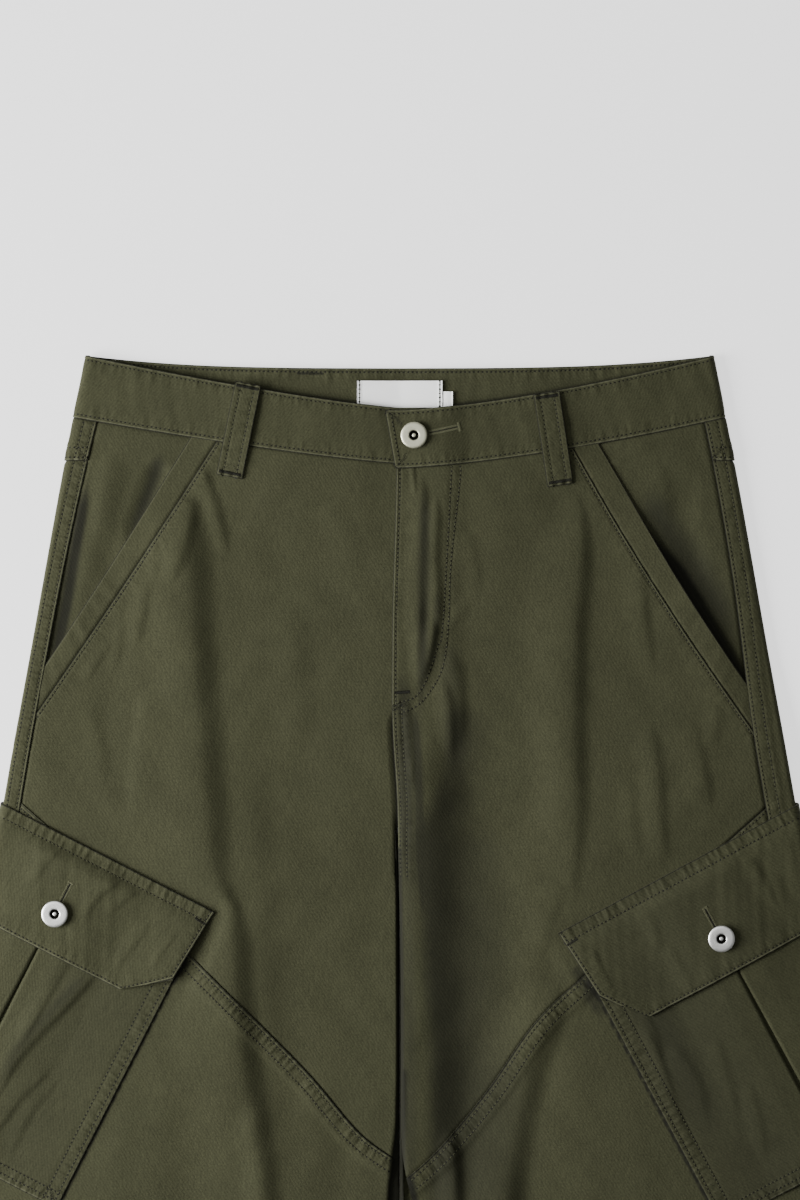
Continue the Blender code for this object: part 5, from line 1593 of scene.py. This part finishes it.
def finish_thread(bm, name, *materials):
    """Makes the stitches of a bmesh one piece. Its faces' material indices choose among the materials."""
    bmesh.ops.recalc_face_normals(bm, faces=bm.faces[:])
    mesh = as_mesh(bm, name)
    finish_piece(mesh, name, materials[0])
    for material in materials[1:]:
        mesh.materials.append(material)


for name, piece in sewn.items():
    rows = [(seam, row) for seam in piece.seams for row in seam.rows]
    if rows:
        bm = bmesh.new()
        for seam, row in rows:
            sew(bm, piece.surface, inset(seam.path, row, piece.centre))
        finish_thread(bm, f"{name}_stitches", THREAD, HOLE_SHADE)

BAR, FINE_BAR = 2.6, 2.0  # widths of bar tacks
TACK_INSET, TACK_END = 1.5, 2.4  # from a loop's sides, and from its ends
BACK_TACK_HALF, BACK_TACK_DOWN, BACK_TACK_PITCH = 8.0, 3.4, 0.9
FLY_TACK = np.array([-3.2+217.8j, 6.4+217.2j])
FLAP_TACK = np.array([1.6+9.4j, 9+8.8j])
bm = bmesh.new()
for loop in FRONT_LOOPS:
    for down in (TACK_END, abs(loop.end - loop.top) - TACK_END):
        satin(bm, sewn[loop.name].surface, np.array([TACK_INSET, LOOP_WIDTH - TACK_INSET]) + 1j * down, BAR)
back_tack = np.array([-BACK_LOOP_X - BACK_TACK_HALF, -BACK_LOOP_X + BACK_TACK_HALF]) + 1j * BACK_TACK_DOWN
satin(bm, sewn["waistband_inside"].surface, back_tack, BAR, BACK_TACK_PITCH)
satin(bm, sewn["front_upper_right"].surface, FLY_TACK, BAR)
for side in (LEFT, RIGHT):
    satin(bm, sewn[f"cargo_flap_{NAMES[side]}"].surface, FLAP_TACK, FINE_BAR)
finish_thread(bm, "bar_tacks", DARK_THREAD)

# The waistband's buttonhole runs along it, and a flap's runs down it, above its button. Each is cut, worked
# along both edges and closed by a short bar.
WAIST_HOLE = 2 * side_turn(0) - np.array([18.5, 35.5]) + 1j * np.array([17.0, 14.8])
WAIST_HOLE_BAR = np.array([-0.6-3j, -1.6+3j])
FLAP_HOLE, FLAP_HOLE_EDGE = np.array([-7.0j, -21.0j]), np.array([-9.0j, -21.5j])
FLAP_HOLE_BAR = np.array([-1.6-22.2j, 1.6-22.2j])
EDGE_APART, BAND_EDGE, FLAP_EDGE = 1.1, 2.0, 1.7  # from the cut to a worked edge's middle, and its widths
FLAP_PITCH = 0.8
bm = bmesh.new()
band = sewn["waistband"].surface
slit(bm, band, WAIST_HOLE)
for shift in (-EDGE_APART, EDGE_APART):
    satin(bm, band, WAIST_HOLE + 1j * shift, BAND_EDGE)
satin(bm, band, WAIST_HOLE[1] + WAIST_HOLE_BAR, BAR)
for side in (LEFT, RIGHT):
    flap = sewn[f"cargo_flap_{NAMES[side]}"].surface
    middle = FLAP_WIDTH / 2 + 1j * POCKET_FRAME[side].button_drop
    slit(bm, flap, middle + FLAP_HOLE)
    for shift in (-EDGE_APART, EDGE_APART):
        satin(bm, flap, middle + FLAP_HOLE_EDGE + shift, FLAP_EDGE, FLAP_PITCH)
    satin(bm, flap, middle + FLAP_HOLE_BAR, FINE_BAR, FLAP_PITCH)
finish_thread(bm, "buttonholes", PALE_THREAD, HOLE_SHADE)

# ---------------------------------------------------------------------------------------------------------
# Camera, floor and light
# A pale floor, the camera straight above the upper half, and a large soft light from the waist's left.

VIEW_HEIGHT = 774.0  # of the floor, that the camera takes in
VIEW_CENTRE = (0.3, 362.0)
CAMERA_HEIGHT = 2400.0
SENSOR = 36.0
FLOOR_DROP, FLOOR_HALF, FLOOR_GLOW = 0.3, 3000.0, 1.36
GAP_MIDDLE, GAP_ROUND = 65.0, (8.0, 200.0)  # the gap between the legs: its middle, and an ellipse round it
LIGHT_AIM = (0, 0.3, 0)

camera_data = bpy.data.cameras.new("camera")
camera_data.sensor_width = SENSOR
camera_data.lens = SENSOR * (CAMERA_HEIGHT - THICKNESS) / VIEW_HEIGHT
camera = bpy.data.objects.new("camera", camera_data)
camera.location = (VIEW_CENTRE[0] * MM, VIEW_CENTRE[1] * MM, CAMERA_HEIGHT * MM)
bpy.context.scene.collection.objects.link(camera)
bpy.context.scene.camera = camera

floor_material, floor_tree, floor_shader = new_material("matt white paper")
ground = add_node(floor_tree, "TexCoord", {}).outputs["Object"]
fibre = add_node(floor_tree, "TexNoise", {"Vector": ground, "Scale": 1 / (3 * MM), "Detail": 3.0})
grain = add_node(floor_tree, "Bump", {"Height": fibre, "Strength": 0.05, "Distance": 0.1 * MM})
# A slight glow evens out the ground. It fades out inside an ellipse round the gap between the legs.
in_ellipse = add_node(floor_tree, "Mapping", {
    "Vector": ground, "Location": (0, -GAP_MIDDLE / GAP_ROUND[1], 0),
    "Scale": (1 / (GAP_ROUND[0] * MM), 1 / (GAP_ROUND[1] * MM), 0),
})
from_gap = add_node(floor_tree, "VectorMath", {0: in_ellipse}, operation="LENGTH").outputs["Value"]
glow = add_node(floor_tree, "MapRange", {
    "Value": from_gap, "From Min": 0.7, "From Max": 1.1, "To Max": FLOOR_GLOW,
})
fill(floor_tree, floor_shader, {
    "Base Color": linear("#B4B4B4"), "Roughness": 0.95, "Normal": grain, "Emission Color": linear("#FFFFFF"),
    "Emission Strength": glow,
})
bm = bmesh.new()
bmesh.ops.create_grid(bm, x_segments=4, y_segments=4, size=FLOOR_HALF * MM)
bmesh.ops.translate(bm, verts=bm.verts[:], vec=(0, 0, -FLOOR_DROP * MM))
floor_mesh = as_mesh(bm, "floor")
floor_mesh.materials.append(floor_material)
floor = bpy.data.objects.new("floor", floor_mesh)
bpy.context.scene.collection.objects.link(floor)

for name, power, size, place in (  # watts, and metres
    ("key", 98.0, 1.1, (-1.54, 0.16, 0.84)),
    ("fill", 20.0, 2.0, (-0.3, 0.9, 2.3)),
):
    light_data = bpy.data.lights.new(name, "AREA")
    light_data.energy = power
    light_data.size = size
    light = bpy.data.objects.new(name, light_data)
    light.location = place
    light.rotation_euler = (Vector(LIGHT_AIM) - Vector(place)).to_track_quat("-Z", "Y").to_euler()
    bpy.context.scene.collection.objects.link(light)
world = bpy.data.worlds.new("studio")
world.use_nodes = True
world.node_tree.nodes["Background"].inputs["Color"].default_value = linear("#F2F4F6")
world.node_tree.nodes["Background"].inputs["Strength"].default_value = 0.15
bpy.context.scene.world = world
